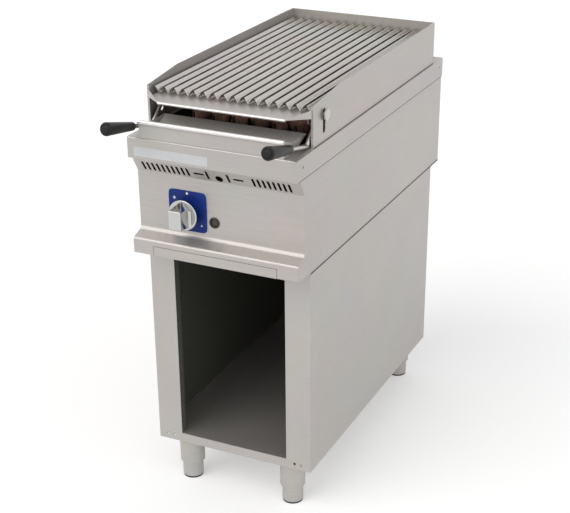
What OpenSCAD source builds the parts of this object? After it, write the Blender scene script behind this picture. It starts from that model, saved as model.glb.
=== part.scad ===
// Gas charbroiler grill on an open stand.
// Units are millimetres. X runs left to right, Y front to back, Z up.
// Pieces are drawn with Y = 0 at the front of the worktop lip and Z = 0 on the floor.
// placed() then moves them so that the origin is under the middle of the whole object.

/* [Overall] */
// Width of the worktop
body_w = 400; // [360:1:480]
// Depth of the worktop, front lip to rear skirt
body_d = 888; // [800:1:1070]
// Height of the stand, from its bottom edge to its top
stand_h = 502; // [420:1:600]
// Height of the cooking module, from the stand to the worktop
module_h = 276; // [266:1:332]
// Thickness of the sheet steel
sheet = 1.5; // [1:0.1:2]

/* [Stand] */
// Distance of the stand's back in front of the worktop's rear
stand_rear = 59; // [30:1:90]
// Distance of the stand's front behind the worktop lip
stand_setback = 66; // [50:1:90]
// Step of the stand's sides inside the worktop's sides
stand_inset = 0.5; // [0:0.1:2]
// Width of the two front posts
post_w = 62; // [45:1:75]
// Height of the lip in front of the shelf
shelf_lip_h = 23; // [15:1:35]
// Diameter of the spare hinge holes in the posts
post_hole_d = 6.5; // [4:0.1:8]

/* [Legs] */
// Clear height under the stand
leg_h = 112; // [90:1:150]
// Wall thickness of a leg sleeve
sleeve_t = 5; // [2:0.5:7]
// Diameter of a levelling foot
foot_d = 50; // [40:1:56]
// Height of the sleeve's lower edge above the floor
foot_show = 45; // [35:1:55]
// Distance of a leg's axis from the worktop's side
leg_side = 65; // [58:1:80]
// Distance of a front leg's axis behind the stand's front
leg_edge = 41; // [35:1:60]
// Distance of a rear leg's axis in front of the stand's back
leg_rear_edge = 29; // [28:1:60]
// Thickness of the rubber pad under a foot
pad_t = 4; // [3:0.5:8]
// Travel of a foot each way
foot_travel = 25; // [10:1:25]

/* [Worktop] */
// Height of the lip and the skirts
lip_h = 47; // [40:1:60]
// Radius of the bend along the worktop's front edge
lip_r = 3; // [2:0.5:5]
// Diameter of the joining holes in the side skirts
join_hole_d = 5; // [4:0.1:6]
// Distance of the joining holes from the front and back of the skirt
join_edge = 25; // [18:1:40]
// Width of the rim between the firebox opening and the worktop's side
rim_w = 7; // [6:0.5:10]
// Distance of the firebox opening behind the lip
opening_y = 97; // [90:1:110]
// Depth of the exhaust slot behind the rear guard
flue_d = 38; // [28:1:45]

/* [Fascia] */
// Distance of the control panel behind the lip
panel_y = 36; // [28:1:45]
// Distance of the strip under the lip behind the lip
under_lip_y = 13; // [8:1:20]
// Gap between the stand and the nose
nose_up = 7; // [5:1:12]
// Height of the nose that covers the drawer
nose_h = 36; // [30:1:45]
// Length of a slanted vent slot
vent_l = 25.5; // [16:0.5:28]
// Width of a vent slot
vent_w = 6; // [4:0.1:7]
// Distance between the slanted vent slots
vent_pitch = 12; // [10:0.1:14]
// Half the width of the middle group of vents
vent_middle = 64; // [62:1:90]
// Distance of the knob's axis from the middle
knob_x = -79; // [-100:1:-60]
// Height of the knob's axis above the bottom of the module
knob_up = 110; // [104:1:116]
// Radius of the hollow bend between the panel and the nose
panel_r = 12; // [3:1:14]
// Radius of the bend along the nose's upper edge
nose_r = 6; // [2:1:8]
// Side of the square dial plate
dial_side = 95; // [80:1:105]
// Distance of the igniter's axis from the middle
igniter_x = -14; // [-20:1:20]
// Height of the igniter's axis above the bottom of the module
igniter_up = 95; // [85:1:110]
// Diameter of the igniter's bezel
bezel_d = 25; // [20:1:28]

/* [Knob] */
// Diameter of the knob's skirt
knob_d = 69; // [56:1:76]
// Distance of the knob's skirt in front of the dial plate
knob_off = 14; // [8:1:20]
// Length of the knob's wing in front of its skirt
knob_l = 34; // [24:1:38]
// Width of the wing at its front
wing_w = 30; // [20:1:34]
// Height of the wing at its front
wing_h = 42; // [30:1:48]
// Travel of the knob when it is pushed in
knob_push = 5; // [3:0.5:6]
// Diameter of the valve stem
stem_d = 8; // [6:0.5:10]
// Travel of the igniter button
button_push = 6; // [4:0.5:8]

/* [Guards] */
// Height of the guards above the worktop
guard_h = 104; // [80:1:130]
// Height of the guards at their front edge
guard_front_h = 90; // [60:1:100]
// Distance of the side guards' front edge behind the lip
guard_y = 86; // [75:1:90]
// Length of the sloping part of a side guard's top
guard_slope_l = 132; // [80:1:200]
// Distance of the rear guard in front of the worktop's rear
guard_rear_gap = 64; // [58:1:90]
// Step of the guards inside the worktop's side
guard_inset = 3.5; // [3:0.5:6]

/* [Grate] */
// Number of V channels
channels = 16; // [10:1:16]
// Gap between the outer channels and the side guards
channel_side = 5.7; // [4:0.1:9]
// Width of a V channel
channel_w = 17; // [14:0.5:20]
// Depth of a V channel
channel_h = 12; // [8:0.5:14]
// Thickness of a channel's wall
channel_t = 2; // [1.5:0.1:3]
// Height of the channels' lower edge above the worktop
channel_up = 70.5; // [66:0.5:80]
// Distance of the channels' front ends behind the lip
channel_y = 107; // [104:1:115]
// Distance of the chute's outlet from the worktop's side
chute_side = 50; // [45:1:70]
// Distance of the chute's outlet behind the lip
chute_y = 50; // [40:1:60]
// Largest tilt of the grate in degrees
grate_tilt = 3; // [2:0.1:3]
// Diameter of the rear pivot rod
pivot_d = 10; // [8:0.5:12]

/* [Lever] */
// Diameter of the lever's round bar
bar_d = 10; // [8:0.5:12]
// Distance of the lever's shaft behind the lip
shaft_y = 141.5; // [138:0.5:150]
// Height of the lever's shaft above the worktop
shaft_up = 59; // [57:0.5:60]
// Distance of the lever's elbow behind the lip
elbow_y = 80; // [75:1:88]
// Length of the straight part from the elbow to the grip's front end
handle_l = 189; // [150:1:220]
// Upward slope of the handle in degrees
handle_rise = 12.8; // [8:0.1:20]
// Length of a grip
grip_l = 107; // [80:1:120]
// Diameter of a grip at its front
grip_d = 29; // [24:1:32]
// Diameter of a grip at its back
grip_back_d = 19; // [16:1:22]
// Distance of a handle's axis inside the side guard
arm_side = 11; // [10:0.5:14]
// Diameter of the disc heads on the shaft's ends
head_d = 26; // [20:1:30]

/* [Gutter] */
// Gap between the grease gutter and the lever's arms
gutter_side = 9; // [5:1:20]
// Height of the gutter's front wall
gutter_h = 39; // [25:1:45]
// Depth of the gutter, front to back
gutter_d = 109; // [95:1:110]
// Height of the gutter's back edge above the worktop
gutter_back_h = 22; // [15:1:23]
// Travel of the gutter when it is drawn out
gutter_travel = 110; // [60:1:140]

/* [Drawer] */
// Distance of the drawer's front from the worktop's side
drawer_side = 50.5; // [46:0.5:70]
// Height of the drawer's front
drawer_front_h = 22; // [18:1:28]
// Gap between the drawer pan and the module's rear sheet
pan_rear = 52.5; // [36:0.5:200]
// Travel of the drawer
drawer_travel = 450; // [200:1:600]

/* [Fire] */
// Depth of the burner tubes' axis below the worktop
burner_down = 94; // [90:1:110]
// Diameter of a burner tube
burner_d = 38; // [30:1:46]
// Distance of a burner tube from the worktop's side
burner_side = 112; // [90:1:130]
// Depth of the lava rack's upper face below the worktop
rack_down = 18; // [16:1:24]
// Pitch of the lava rocks
rock_pitch = 49.4; // [44:0.1:56]
// Size of a lava rock
rock_size = 45; // [36:1:47]

/* [Gas] */
// Outer diameter of the gas pipe
pipe_d = 15; // [12:1:18]
// Outer diameter of the inlet's thread, half-inch size
inlet_d = 21; // [17:0.1:27]
// Length of the inlet's thread behind the body
inlet_l = 24; // [15:1:30]

/* [Fits] */
// Gap between pieces that move past each other
gap = 0.3; // [0.2:0.1:0.5]
// Radial clearance of a shaft in its bore
run = 0.06; // [0.03:0.01:0.1]

/* [Hidden] */

$fn = 48;
// Small overlap that lets joined shapes of one piece merge
weld = 0.01;
// Depth by which a cutting shape passes the face it cuts
past = 1;

half_w = body_w / 2;
// Heights above the floor
stand_z = leg_h;
module_z = leg_h + stand_h;
top_z = module_z + module_h;
lip_z = top_z - lip_h;
// Stand
stand_half = half_w - stand_inset;
stand_back_y = body_d - stand_rear;
post_return = 20;
post_hole_gap = 16.6;
post_hole_edge = 14;
post_hole_x = half_w - 32.5;
shelf_z = stand_z + shelf_lip_h;
leg_x = half_w - leg_side;
leg_front_y = stand_setback + leg_edge;
leg_rear_y = stand_back_y - leg_rear_edge;
sleeve_d = foot_d + 2 * sleeve_t;
sleeve_top_t = 6;
bolt_d = 10;
// Worktop openings
opening_half = half_w - rim_w;
guard_half = half_w - guard_inset;
guard_back_y = body_d - guard_rear_gap;
opening_back_y = guard_back_y + 12;
flue_y = opening_back_y + 6;
// Module
side_half = half_w - sheet;
body_back_y = body_d - sheet - 0.5;
side_front_y = stand_setback + 3;
// Panel levels
panel_top_z = lip_z - 39;
vent_down = 5;
nose_low_z = module_z + nose_up;
nose_top_z = nose_low_z + nose_h;
panel_low_z = nose_top_z + 11;
nose_y = 2;
knob_z = module_z + knob_up;
igniter_z = module_z + igniter_up;
dial_t = 1;
stem_hole_d = stem_d + 6;
dial_y = panel_y - dial_t;
dial_x = knob_x + 1;
dial_z = knob_z + 3;
knob_rear_y = dial_y - knob_off;
knob_bore = 15;
igniter_l = 36;
// Grate and lever
channel_z = top_z + channel_up;
bar_t = 4;
arm_x = guard_half - sheet - arm_side;
rail_x = arm_x - bar_d / 2 - 4 - bar_t;
rail_h = 23;
channel_pitch = (2 * (guard_half - sheet - channel_side) - channel_w) / (channels - 1);
chute_half = half_w - chute_side;
gutter_half = arm_x - bar_d / 2 - gutter_side;
bar_reach = 10;
rail_z = channel_z - bar_t - rail_h;
rail_y = 112;
channel_back_y = guard_back_y - 12;
pivot_y = guard_back_y - 27;
pivot_z = rail_z + rail_h / 2;
shaft_z = top_z + shaft_up;
elbow_z = top_z + bar_d / 2 + 0.8;
slot_w = bar_d + 2;
slot_drop = (pivot_y - shaft_y) * sin(grate_tilt) + 1;
grip_tip_y = elbow_y - handle_l * cos(handle_rise);
// Drawer
drawer_w = body_w - 2 * drawer_side;
drawer_low_z = nose_low_z + 0.2;
pan_z = drawer_low_z + sheet;
pan_h = drawer_front_h - sheet - 0.7;
pan_half = drawer_w / 2 - 3;
pan_front_y = nose_y + sheet;
pan_back_y = body_back_y - pan_rear;
// Firebox
box_half = opening_half - 1;
box_low_z = module_z + 32;
box_bend_z = module_z + 86;
box_low_half = drawer_w / 2 - 7;
box_y = opening_y + 1;
box_back_y = opening_back_y - 1;
burner_z = top_z - burner_down;
burner_x = half_w - burner_side;
burner_wall = 2;
burner_y = box_y + 62;
burner_back_y = box_back_y - 45;
rack_z = top_z - rack_down;
rack_half = rail_x - 5;
rack_y = shaft_y + 12;
rack_back_y = box_back_y - 22;
rack_bars = floor(rack_half / (rock_pitch / 2));
// Pilot
bracket_z = burner_z + 10;
pilot_x = -52;
pilot_y = box_y + sheet + 36;
electrode_x = pilot_x + 11;
// Gas train
pipe_x = -half_w + 38;
pipe_z = module_z + 36;
valve_y = panel_y + 10;
valve_l = 34;
inlet_end_y = body_d + inlet_l;
grip_nose_d = grip_d - 8;
grip_front_y = grip_tip_y - grip_nose_d / 2 * sin(handle_rise);
middle_y = (grip_front_y + inlet_end_y) / 2;

// ---------- helpers ----------

// Moves a piece from the drawing position to the object's own origin
module placed() {
    translate([0, -middle_y, 0])
        children();
}

// Box given by its lowest and highest corners
module box(low, high) {
    translate(low)
        cube(high - low);
}

function unit(v) = v / norm(v);
function left_of(d) = [-d[1], d[0]];
function bend_shift(a, b, c, t) =
    let (n1 = left_of(unit(b - a)), n2 = left_of(unit(c - b)), m = unit(n1 + n2))
    m * t / (m * n1);
function edge_shift(p, i, t) =
    i == 0 ? left_of(unit(p[1] - p[0])) * t
    : i == len(p) - 1 ? left_of(unit(p[i] - p[i - 1])) * t
    : bend_shift(p[i - 1], p[i], p[i + 1], t);
// Outline of a folded sheet: a path of points and its thickness, on the path's left
function folded(p, t) = concat(p, [for (i = [len(p) - 1:-1:0]) p[i] + edge_shift(p, i, t)]);
// Points of an arc about c from angle a to angle b
function arc(c, r, a, b, n) = [for (i = [0:n]) c + r * [cos(a + (b - a) * i / n), sin(a + (b - a) * i / n)]];
// Points of an arc of radius r that rounds the corner b between a and c
function round_corner(a, b, c, r, n) =
    let (u = unit(a - b), v = unit(c - b), half = acos(u * v) / 2,
        centre = b + unit(u + v) * r / sin(half), start = b + u * r / tan(half) - centre,
        turn = sign(cross(b - a, c - b)) * (180 - 2 * half), from = atan2(start[1], start[0]))
    arc(centre, r, from, from + turn, n);

// Extrudes a flat outline given as [y, z] along X
module along_x(outline, x0, x1) {
    translate([x0, 0, 0])
        rotate([90, 0, 90])
            linear_extrude(x1 - x0)
                polygon(outline);
}

// Extrudes a flat outline given as [x, z] along Y
module along_y(outline, y0, y1) {
    translate([0, y1, 0])
        rotate([90, 0, 0])
            linear_extrude(y1 - y0)
                polygon(outline);
}

// Round rod along X, Y or Z from one end to the other
module rod_x(x0, x1, y, z, d) {
    translate([x0, y, z])
        rotate([0, 90, 0])
            cylinder(h = x1 - x0, d = d);
}
module rod_y(y0, y1, x, z, d) {
    translate([x, y0, z])
        rotate([-90, 0, 0])
            cylinder(h = y1 - y0, d = d);
}
module rod_z(z0, z1, x, y, d) {
    translate([x, y, z0])
        cylinder(h = z1 - z0, d = d);
}

// Straight rod between two points, and a ball that closes a bend
module rod(a, b, d) {
    v = b - a;
    translate(a)
        rotate([0, acos(v[2] / norm(v)), atan2(v[1], v[0])])
            cylinder(h = norm(v), d = d);
}
module bent_rod(points, d) {
    for (i = [0:len(points) - 2])
        rod(points[i], points[i + 1], d);
    for (i = [1:len(points) - 2])
        translate(points[i])
            sphere(d = d * 1.04);
}

module mirror_x() {
    mirror([1, 0, 0])
        children();
}

// ---------- stand ----------

// Right side of the stand: side, front post with return, rear and bottom flanges
module stand_side_shape() {
    in = stand_half - sheet;
    difference() {
        union() {
            box([in, stand_setback, stand_z], [stand_half, stand_back_y, module_z]);
            box([half_w - post_w, stand_setback, stand_z], [in + weld, stand_setback + sheet, module_z]);
            box([half_w - post_w, stand_setback, stand_z],
                [half_w - post_w + sheet, stand_setback + post_return, module_z]);
            box([in - 20, stand_back_y - sheet, stand_z], [in + weld, stand_back_y, module_z]);
            box([leg_x - 35, stand_setback + post_return + 1, stand_z],
                [in + weld, stand_back_y - sheet - 1, stand_z + sheet]);
            box([leg_x - 35, stand_setback + sheet + 1, stand_z],
                [half_w - post_w - 1, stand_setback + post_return + 1 + weld, stand_z + sheet]);
        }
        for (x = [-post_hole_gap / 2, post_hole_gap / 2])
            for (z = [stand_z + post_hole_edge, module_z - post_hole_edge])
                rod_y(stand_setback - past, stand_setback + sheet + past,
                    post_hole_x + x, z, post_hole_d);
        for (y = [leg_front_y, leg_rear_y])
            rod_z(stand_z - past, stand_z + sheet + past, leg_x, y, bolt_d + 2 * run);
    }
}

module stand_side_right() {
    color("silver")
        placed()
            stand_side_shape();
}

module stand_side_left() {
    color("silver")
        placed()
            mirror_x()
                stand_side_shape();
}

// Shelf with a front lip between the posts and side flanges screwed to the sides
module stand_shelf() {
    in = stand_half - sheet;
    lip_half = half_w - post_w;
    notch = (in - lip_half) / 2;
    color("silver")
        placed()
            difference() {
                union() {
                    box([-in, stand_setback + sheet, shelf_z - sheet],
                        [in, stand_back_y - sheet * 2, shelf_z]);
                    box([-lip_half, stand_setback, stand_z],
                        [lip_half, stand_setback + sheet + weld, shelf_z]);
                    for (s = [-1, 1])
                        translate([s * (in - sheet / 2), 0, 0])
                            box([-sheet / 2, stand_setback + 30, stand_z + 2 * sheet],
                                [sheet / 2, stand_back_y - 30, shelf_z - sheet + weld]);
                }
                for (s = [0, 1])
                    mirror([s, 0, 0])
                        translate([lip_half + notch, 0, shelf_z])
                            box([-notch, stand_setback - past, -sheet - past],
                                [notch + past, stand_setback + post_return, past]);
            }
}

// Back sheet of the stand, in front of the sides' rear flanges
module stand_back() {
    in = stand_half - sheet;
    color("silver")
        placed()
            box([-in, stand_back_y - sheet * 2, shelf_z - sheet], [in, stand_back_y - sheet, module_z]);
}

// Two channel rails across the top of the stand
module stand_rails() {
    in = stand_half - sheet;
    rail = 24;
    color("silver")
        placed()
            for (y = [stand_setback + post_return, stand_back_y - sheet * 2 - rail])
                along_x(folded([[y, module_z - rail], [y, module_z], [y + rail, module_z],
                    [y + rail, module_z - rail]], -sheet), -in, in);
}

// ---------- legs ----------

module at_legs() {
    for (x = [-leg_x, leg_x])
        for (y = [leg_front_y, leg_rear_y])
            translate([x, y, 0])
                children();
}

// Sleeve: a cup that hangs under the stand, with a threaded top
module leg_sleeves() {
    color("gainsboro")
        placed()
            at_legs()
                difference() {
                    rod_z(foot_show, stand_z, 0, 0, sleeve_d);
                    rod_z(foot_show - past, stand_z - sleeve_top_t, 0, 0, foot_d + 2 * run);
                    rod_z(stand_z - sleeve_top_t - past, stand_z + past, 0, 0, bolt_d);
                }
}

// Hexagon bolts that hold the sleeves to the stand's bottom flanges
module leg_bolts() {
    color("silver")
        placed()
            at_legs()
                union() {
                    rod_z(stand_z + sheet, stand_z + sheet + 6.4, 0, 0, 17);
                    rod_z(stand_z - sleeve_top_t, stand_z + sheet + weld, 0, 0, bolt_d - 2 * run);
                }
}

// Levelling foot: the part that slides in the sleeve, with a step above its pad
module foot_at(x, y) {
    step = 3;
    color("gainsboro")
        placed()
            translate([x, y, 0])
                union() {
                    rod_z(pad_t + step, stand_z - sleeve_top_t - foot_travel - 1, 0, 0, foot_d);
                    rod_z(pad_t, pad_t + step + 1, 0, 0, foot_d - 3);
                }
}

// Rubber pad under a foot
module pad_at(x, y) {
    color("dimgray")
        placed()
            translate([x, y, 0])
                cylinder(h = pad_t, d = foot_d - 3);
}

module foot_front_left() {
    foot_at(-leg_x, leg_front_y);
}
module foot_front_right() {
    foot_at(leg_x, leg_front_y);
}
module foot_rear_left() {
    foot_at(-leg_x, leg_rear_y);
}
module foot_rear_right() {
    foot_at(leg_x, leg_rear_y);
}
module pad_front_left() {
    pad_at(-leg_x, leg_front_y);
}
module pad_front_right() {
    pad_at(leg_x, leg_front_y);
}
module pad_rear_left() {
    pad_at(-leg_x, leg_rear_y);
}
module pad_rear_right() {
    pad_at(leg_x, leg_rear_y);
}

// ---------- cooking module ----------

// Right side sheet of the module with top and rear flanges
module body_side_shape() {
    in = side_half - sheet;
    box([in, side_front_y, module_z], [side_half, body_back_y, top_z - sheet]);
    box([in - 15, body_back_y - sheet, module_z + 4], [in + weld, body_back_y, top_z - sheet]);
}

module body_side_right() {
    color("silver")
        placed()
            body_side_shape();
}

module body_side_left() {
    color("silver")
        placed()
            mirror_x()
                body_side_shape();
}

// Rear sheet with an entry for the gas inlet and rows of air slots
module body_back() {
    in = side_half - sheet;
    back = body_back_y - sheet;
    color("silver")
        placed()
            difference() {
                box([-in + 15, back, module_z + sheet], [in - 15, body_back_y, top_z - sheet]);
                rod_y(back - past, body_back_y + past, pipe_x, pipe_z, inlet_d + 1);
                for (z = [0:3])
                    for (x = [-1:1])
                        translate([x * 90, 0, module_z + 60 + z * 14])
                            box([-34, back - past, 0], [34, body_back_y + past, 5]);
            }
}

// Floor of the module, folded up at the front and the back
module body_floor() {
    in = side_half - sheet;
    back = body_back_y - sheet;
    color("silver")
        placed()
            union() {
                box([-in, side_front_y, module_z], [in, body_back_y - sheet, module_z + sheet]);
                box([-in, back - sheet, module_z], [in, back, module_z + 18]);
            }
}

// Control panel: corners of one folded sheet from under the lip down to the nose, and their radii
panel_corners = [
    [under_lip_y, lip_z + 30],
    [under_lip_y, lip_z],
    [panel_y, panel_top_z],
    [panel_y, panel_low_z],
    [nose_y, nose_top_z],
    [nose_y, nose_low_z],
    [nose_y + 20, nose_low_z],
];
panel_radii = [0, 3, 4, panel_r, nose_r, 2, 0];
function panel_path() = concat(
    [panel_corners[0]],
    [for (i = [1:len(panel_corners) - 2])
        for (p = round_corner(panel_corners[i - 1], panel_corners[i], panel_corners[i + 1],
            panel_radii[i], 4)) p],
    [panel_corners[len(panel_corners) - 1]]);

// Puts a cutter on the strip under the lip, square to it and some way down from its middle
module on_strip(x, down) {
    translate([x, (under_lip_y + panel_y) / 2, (lip_z + panel_top_z) / 2])
        rotate([-atan2(lip_z - panel_top_z, panel_y - under_lip_y), 0, 0])
            translate([0, down, 0])
                children();
}

// Cutter for one vent slot in the strip under the lip; turn is its lean in degrees
module vent_slot(x, turn, length) {
    on_strip(x, vent_down)
        rotate([0, 0, -turn])
            union() {
                cube([vent_w, length - vent_w, 12], center = true);
                for (s = [-1, 1])
                    translate([0, s * (length - vent_w) / 2, 0])
                        cylinder(h = 12, d = vent_w, center = true, $fn = 24);
            }
}

module fascia_vents() {
    lean = 4;
    left_x = side_half - 20.5;
    right_x = side_half - 27.5;
    for (i = [0:floor((left_x - vent_middle) / vent_pitch)])
        vent_slot(-left_x + i * vent_pitch, lean, vent_l);
    for (i = [0:floor((right_x - vent_middle) / vent_pitch) - 1])
        vent_slot(right_x - i * vent_pitch, lean, vent_l);
    for (x = [-43.5, 51])
        vent_slot(x, 90, vent_l);
    for (x = [-23, 27])
        vent_slot(x, lean, vent_l);
}

module fascia() {
    cap = concat([for (p = panel_path()) if (p[1] < lip_z) p],
        [[side_front_y, module_z + 2], [side_front_y, lip_z - 0.1], [under_lip_y, lip_z - 0.1]]);
    peephole_d = 18;
    color("silver")
        placed()
            difference() {
                union() {
                    along_x(folded(panel_path(), sheet), -side_half, side_half);
                    for (x = [-half_w, side_half - weld])
                        along_x(cap, x, x + sheet + weld);
                }
                box([-drawer_w / 2 - 1, nose_y - past, nose_low_z - past],
                    [drawer_w / 2 + 1, nose_y + 20 + past, nose_low_z + drawer_front_h + 1]);
                rod_y(panel_y - past, panel_y + sheet + past, knob_x, knob_z, stem_hole_d);
                rod_y(panel_y - past, panel_y + sheet + past, igniter_x, igniter_z, bezel_d - 6);
                for (s = [-1, 1])
                    rod_y(panel_y - past, panel_y + sheet + past, knob_x + s * 22, knob_z, 4);
                fascia_vents();
                on_strip(4, vent_down + 6)
                    cylinder(h = 12, d = peephole_d, center = true);
            }
}

// Worktop: front lip with rounded bend, skirts, firebox opening and exhaust slot
module worktop() {
    lip_path = concat(
        [[under_lip_y - 0.1, lip_z], [0, lip_z]],
        arc([lip_r, top_z - lip_r], lip_r, 180, 90, 6),
        [[opening_y, top_z]]);
    color("silver")
        placed()
            difference() {
                union() {
                    along_x(folded(lip_path, -sheet), -half_w, half_w);
                    box([-half_w, opening_y - weld, top_z - sheet], [half_w, body_d, top_z]);
                    for (x = [-half_w, side_half])
                        box([x, lip_r, lip_z], [x + sheet, body_d, top_z - sheet + weld]);
                    for (x = [-half_w, side_half])
                        along_x(concat([[0, lip_z], [0, top_z - lip_r]],
                            arc([lip_r, top_z - lip_r], lip_r, 180, 90, 6),
                            [[lip_r + weld, top_z], [lip_r + weld, lip_z]]), x, x + sheet);
                    box([-half_w, body_d - sheet, lip_z], [half_w, body_d, top_z - sheet + weld]);
                }
                box([-opening_half, opening_y, top_z - sheet - past],
                    [opening_half, opening_back_y, top_z + past]);
                box([-opening_half + 12, flue_y, top_z - sheet - past],
                    [opening_half - 12, flue_y + flue_d, top_z + past]);
                for (s = [-1, 1])
                    for (y = [join_edge + 3.5, body_d - join_edge + 3.5])
                        rod_x(s * half_w - 3, s * half_w + 3, y, top_z - 21, join_hole_d);
            }
}

// Screws that join the module to the stand's rails
module join_screws() {
    color("silver")
        placed()
            for (x = [-pan_half - 21.5, pan_half + 21.5])
                for (y = [stand_setback + post_return + 12, stand_back_y - 15])
                    translate([x, y, module_z + sheet])
                        difference() {
                            rod_z(0, 5, 0, 0, 12);
                            translate([0, 0, 3])
                                cylinder(h = 3, d = 6, $fn = 6);
                        }
}

// Angle runners, one each side of the drawer
module drawer_runners() {
    color("silver")
        placed()
            for (s = [0, 1])
                mirror([s, 0, 0])
                    along_y([[pan_half - 14, module_z + sheet], [pan_half + gap + sheet, module_z + sheet],
                        [pan_half + gap + sheet, pan_z + pan_h - 4], [pan_half + gap, pan_z + pan_h - 4],
                        [pan_half + gap, pan_z - gap], [pan_half - 14, pan_z - gap]],
                        side_front_y + 4, body_back_y - 30);
}

// Fat drawer: a shallow pan that slides under the firebox
module drawer_pan() {
    color("silver")
        placed()
            difference() {
                box([-pan_half, pan_front_y, pan_z], [pan_half, pan_back_y, pan_z + pan_h]);
                box([-pan_half + sheet, pan_front_y + sheet, pan_z + sheet],
                    [pan_half - sheet, pan_back_y - sheet, pan_z + pan_h + past]);
            }
}

// Drawer front: closes the opening in the nose, with a finger edge below
module drawer_front() {
    color("silver")
        placed()
            along_x(folded([[nose_y, nose_low_z + drawer_front_h], [nose_y, drawer_low_z],
                [nose_y + 12, drawer_low_z]], sheet), -drawer_w / 2, drawer_w / 2);
}

// ---------- firebox ----------

// Side walls that slope in over the drawer, with end walls and a rim under the worktop
module firebox() {
    t = sheet;
    rim = 3;
    wall = [[box_low_half, box_low_z], [box_half, box_bend_z], [box_half, top_z - 2 * t],
        [box_half + rim, top_z - 2 * t]];
    plate = [[-box_low_half, box_low_z], [box_low_half, box_low_z], [box_half, box_bend_z],
        [box_half, top_z - t], [-box_half, top_z - t], [-box_half, box_bend_z]];
    color("dimgray")
        placed()
            difference() {
                union() {
                    for (s = [0, 1])
                        mirror([s, 0, 0])
                            along_y(folded(wall, t), box_y, box_back_y);
                    along_y(plate, box_y, box_y + t);
                    along_y(plate, box_back_y - t, box_back_y);
                }
                rod_y(box_y - past, box_y + t + past, 0, burner_z, burner_d - 4);
                box([-70, box_y - past, burner_z + 10], [-35, box_y + t + past, burner_z + 34]);
                box([-box_half + 30, box_back_y - t - past, burner_z + 20],
                    [box_half - 30, box_back_y + past, burner_z + 80]);
            }
}

// Exhaust duct behind the firebox, open at the top under the worktop's slot
module flue_duct() {
    half = opening_half - 12 + sheet;
    front = opening_back_y;
    low = burner_z - 10;
    color("dimgray")
        placed()
            difference() {
                box([-half, front, low], [half, flue_y + flue_d + sheet, top_z - sheet]);
                box([-half + sheet, front + sheet, low + sheet],
                    [half - sheet, flue_y + flue_d, top_z]);
                box([-box_half + 30, front - past, burner_z + 20],
                    [box_half - 30, front + sheet + past, burner_z + 80]);
            }
}

// Burner: inlet tube, cross pipe and two long tubes with rows of flame slots
module burner() {
    slots = floor((burner_back_y - burner_y - 60) / 20);
    inner_d = burner_d - 2 * burner_wall;
    inlet = burner_d - 8;
    color("silver")
        placed()
            difference() {
                union() {
                    for (x = [-burner_x, burner_x])
                        rod_y(burner_y, burner_back_y, x, burner_z, burner_d);
                    rod_x(-burner_x, burner_x, burner_y + burner_d / 2, burner_z, burner_d - 4);
                    rod_y(box_y - 14, burner_y + burner_d / 2, 0, burner_z, inlet);
                    for (x = [-burner_x, burner_x])
                        box([x - 9, burner_back_y - weld, burner_z - 3],
                            [x + 9, box_back_y - sheet, burner_z + 3]);
                }
                for (x = [-burner_x, burner_x])
                    rod_y(burner_y + burner_wall, burner_back_y - burner_wall, x, burner_z, inner_d);
                rod_x(-burner_x, burner_x, burner_y + burner_d / 2, burner_z, inner_d - 4);
                rod_y(box_y - 14 - past, burner_y + burner_d / 2, 0, burner_z, inlet - 2 * burner_wall);
                for (x = [-burner_x, burner_x])
                    for (i = [0:slots])
                        box([x - 7, burner_y + 40 + i * 20, burner_z],
                            [x + 7, burner_y + 42 + i * 20, burner_z + burner_d]);
            }
}

// Sleeve with air windows in front of the burner's inlet
module air_shutter() {
    inner = burner_d - 8 + 2 * gap;
    color("silver")
        placed()
            difference() {
                rod_y(box_y - 28, box_y - 2, 0, burner_z, inner + 3);
                rod_y(box_y - 26.5, box_y, 0, burner_z, inner);
                rod_y(box_y - 30, box_y - 26, 0, burner_z, 11 + gap);
                for (s = [-1, 1])
                    box([s * 16 - 6, box_y - 25, burner_z - 5], [s * 16 + 6, box_y - 16, burner_z + 5]);
            }
}

// Brass injector on the end of the feed pipe
module injector() {
    color("gold")
        placed()
            difference() {
                union() {
                    rod_y(box_y - 34, box_y - 20, 0, burner_z, 11);
                    rod_y(box_y - 40, box_y - 34 + weld, 0, burner_z, 14);
                }
                rod_y(box_y - 41, box_y - 24, 0, burner_z, 6);
                rod_y(box_y - 25, box_y - 19, 0, burner_z, 1.8);
            }
}

// Welded bar rack; every other bar turns up at the front to hold the rocks
module lava_rack() {
    bar_w = 5;
    bar_h = 10;
    color("dimgray")
        placed()
            union() {
                for (i = [-rack_bars:rack_bars])
                    translate([i * rock_pitch / 2, 0, 0])
                        union() {
                            box([-bar_w / 2, rack_y, rack_z - bar_h], [bar_w / 2, rack_back_y, rack_z]);
                            if (i % 2 != 0)
                                box([-bar_w / 2, rack_y, rack_z - weld],
                                    [bar_w / 2, rack_y + 4, rack_z + 38]);
                        }
                for (y = [rack_y + 30, (rack_y + rack_back_y) / 2, rack_back_y - 30])
                    box([-box_half + sheet + gap, y, rack_z - bar_h - 4],
                        [box_half - sheet - gap, y + 20, rack_z - bar_h + weld]);
            }
}

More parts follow.
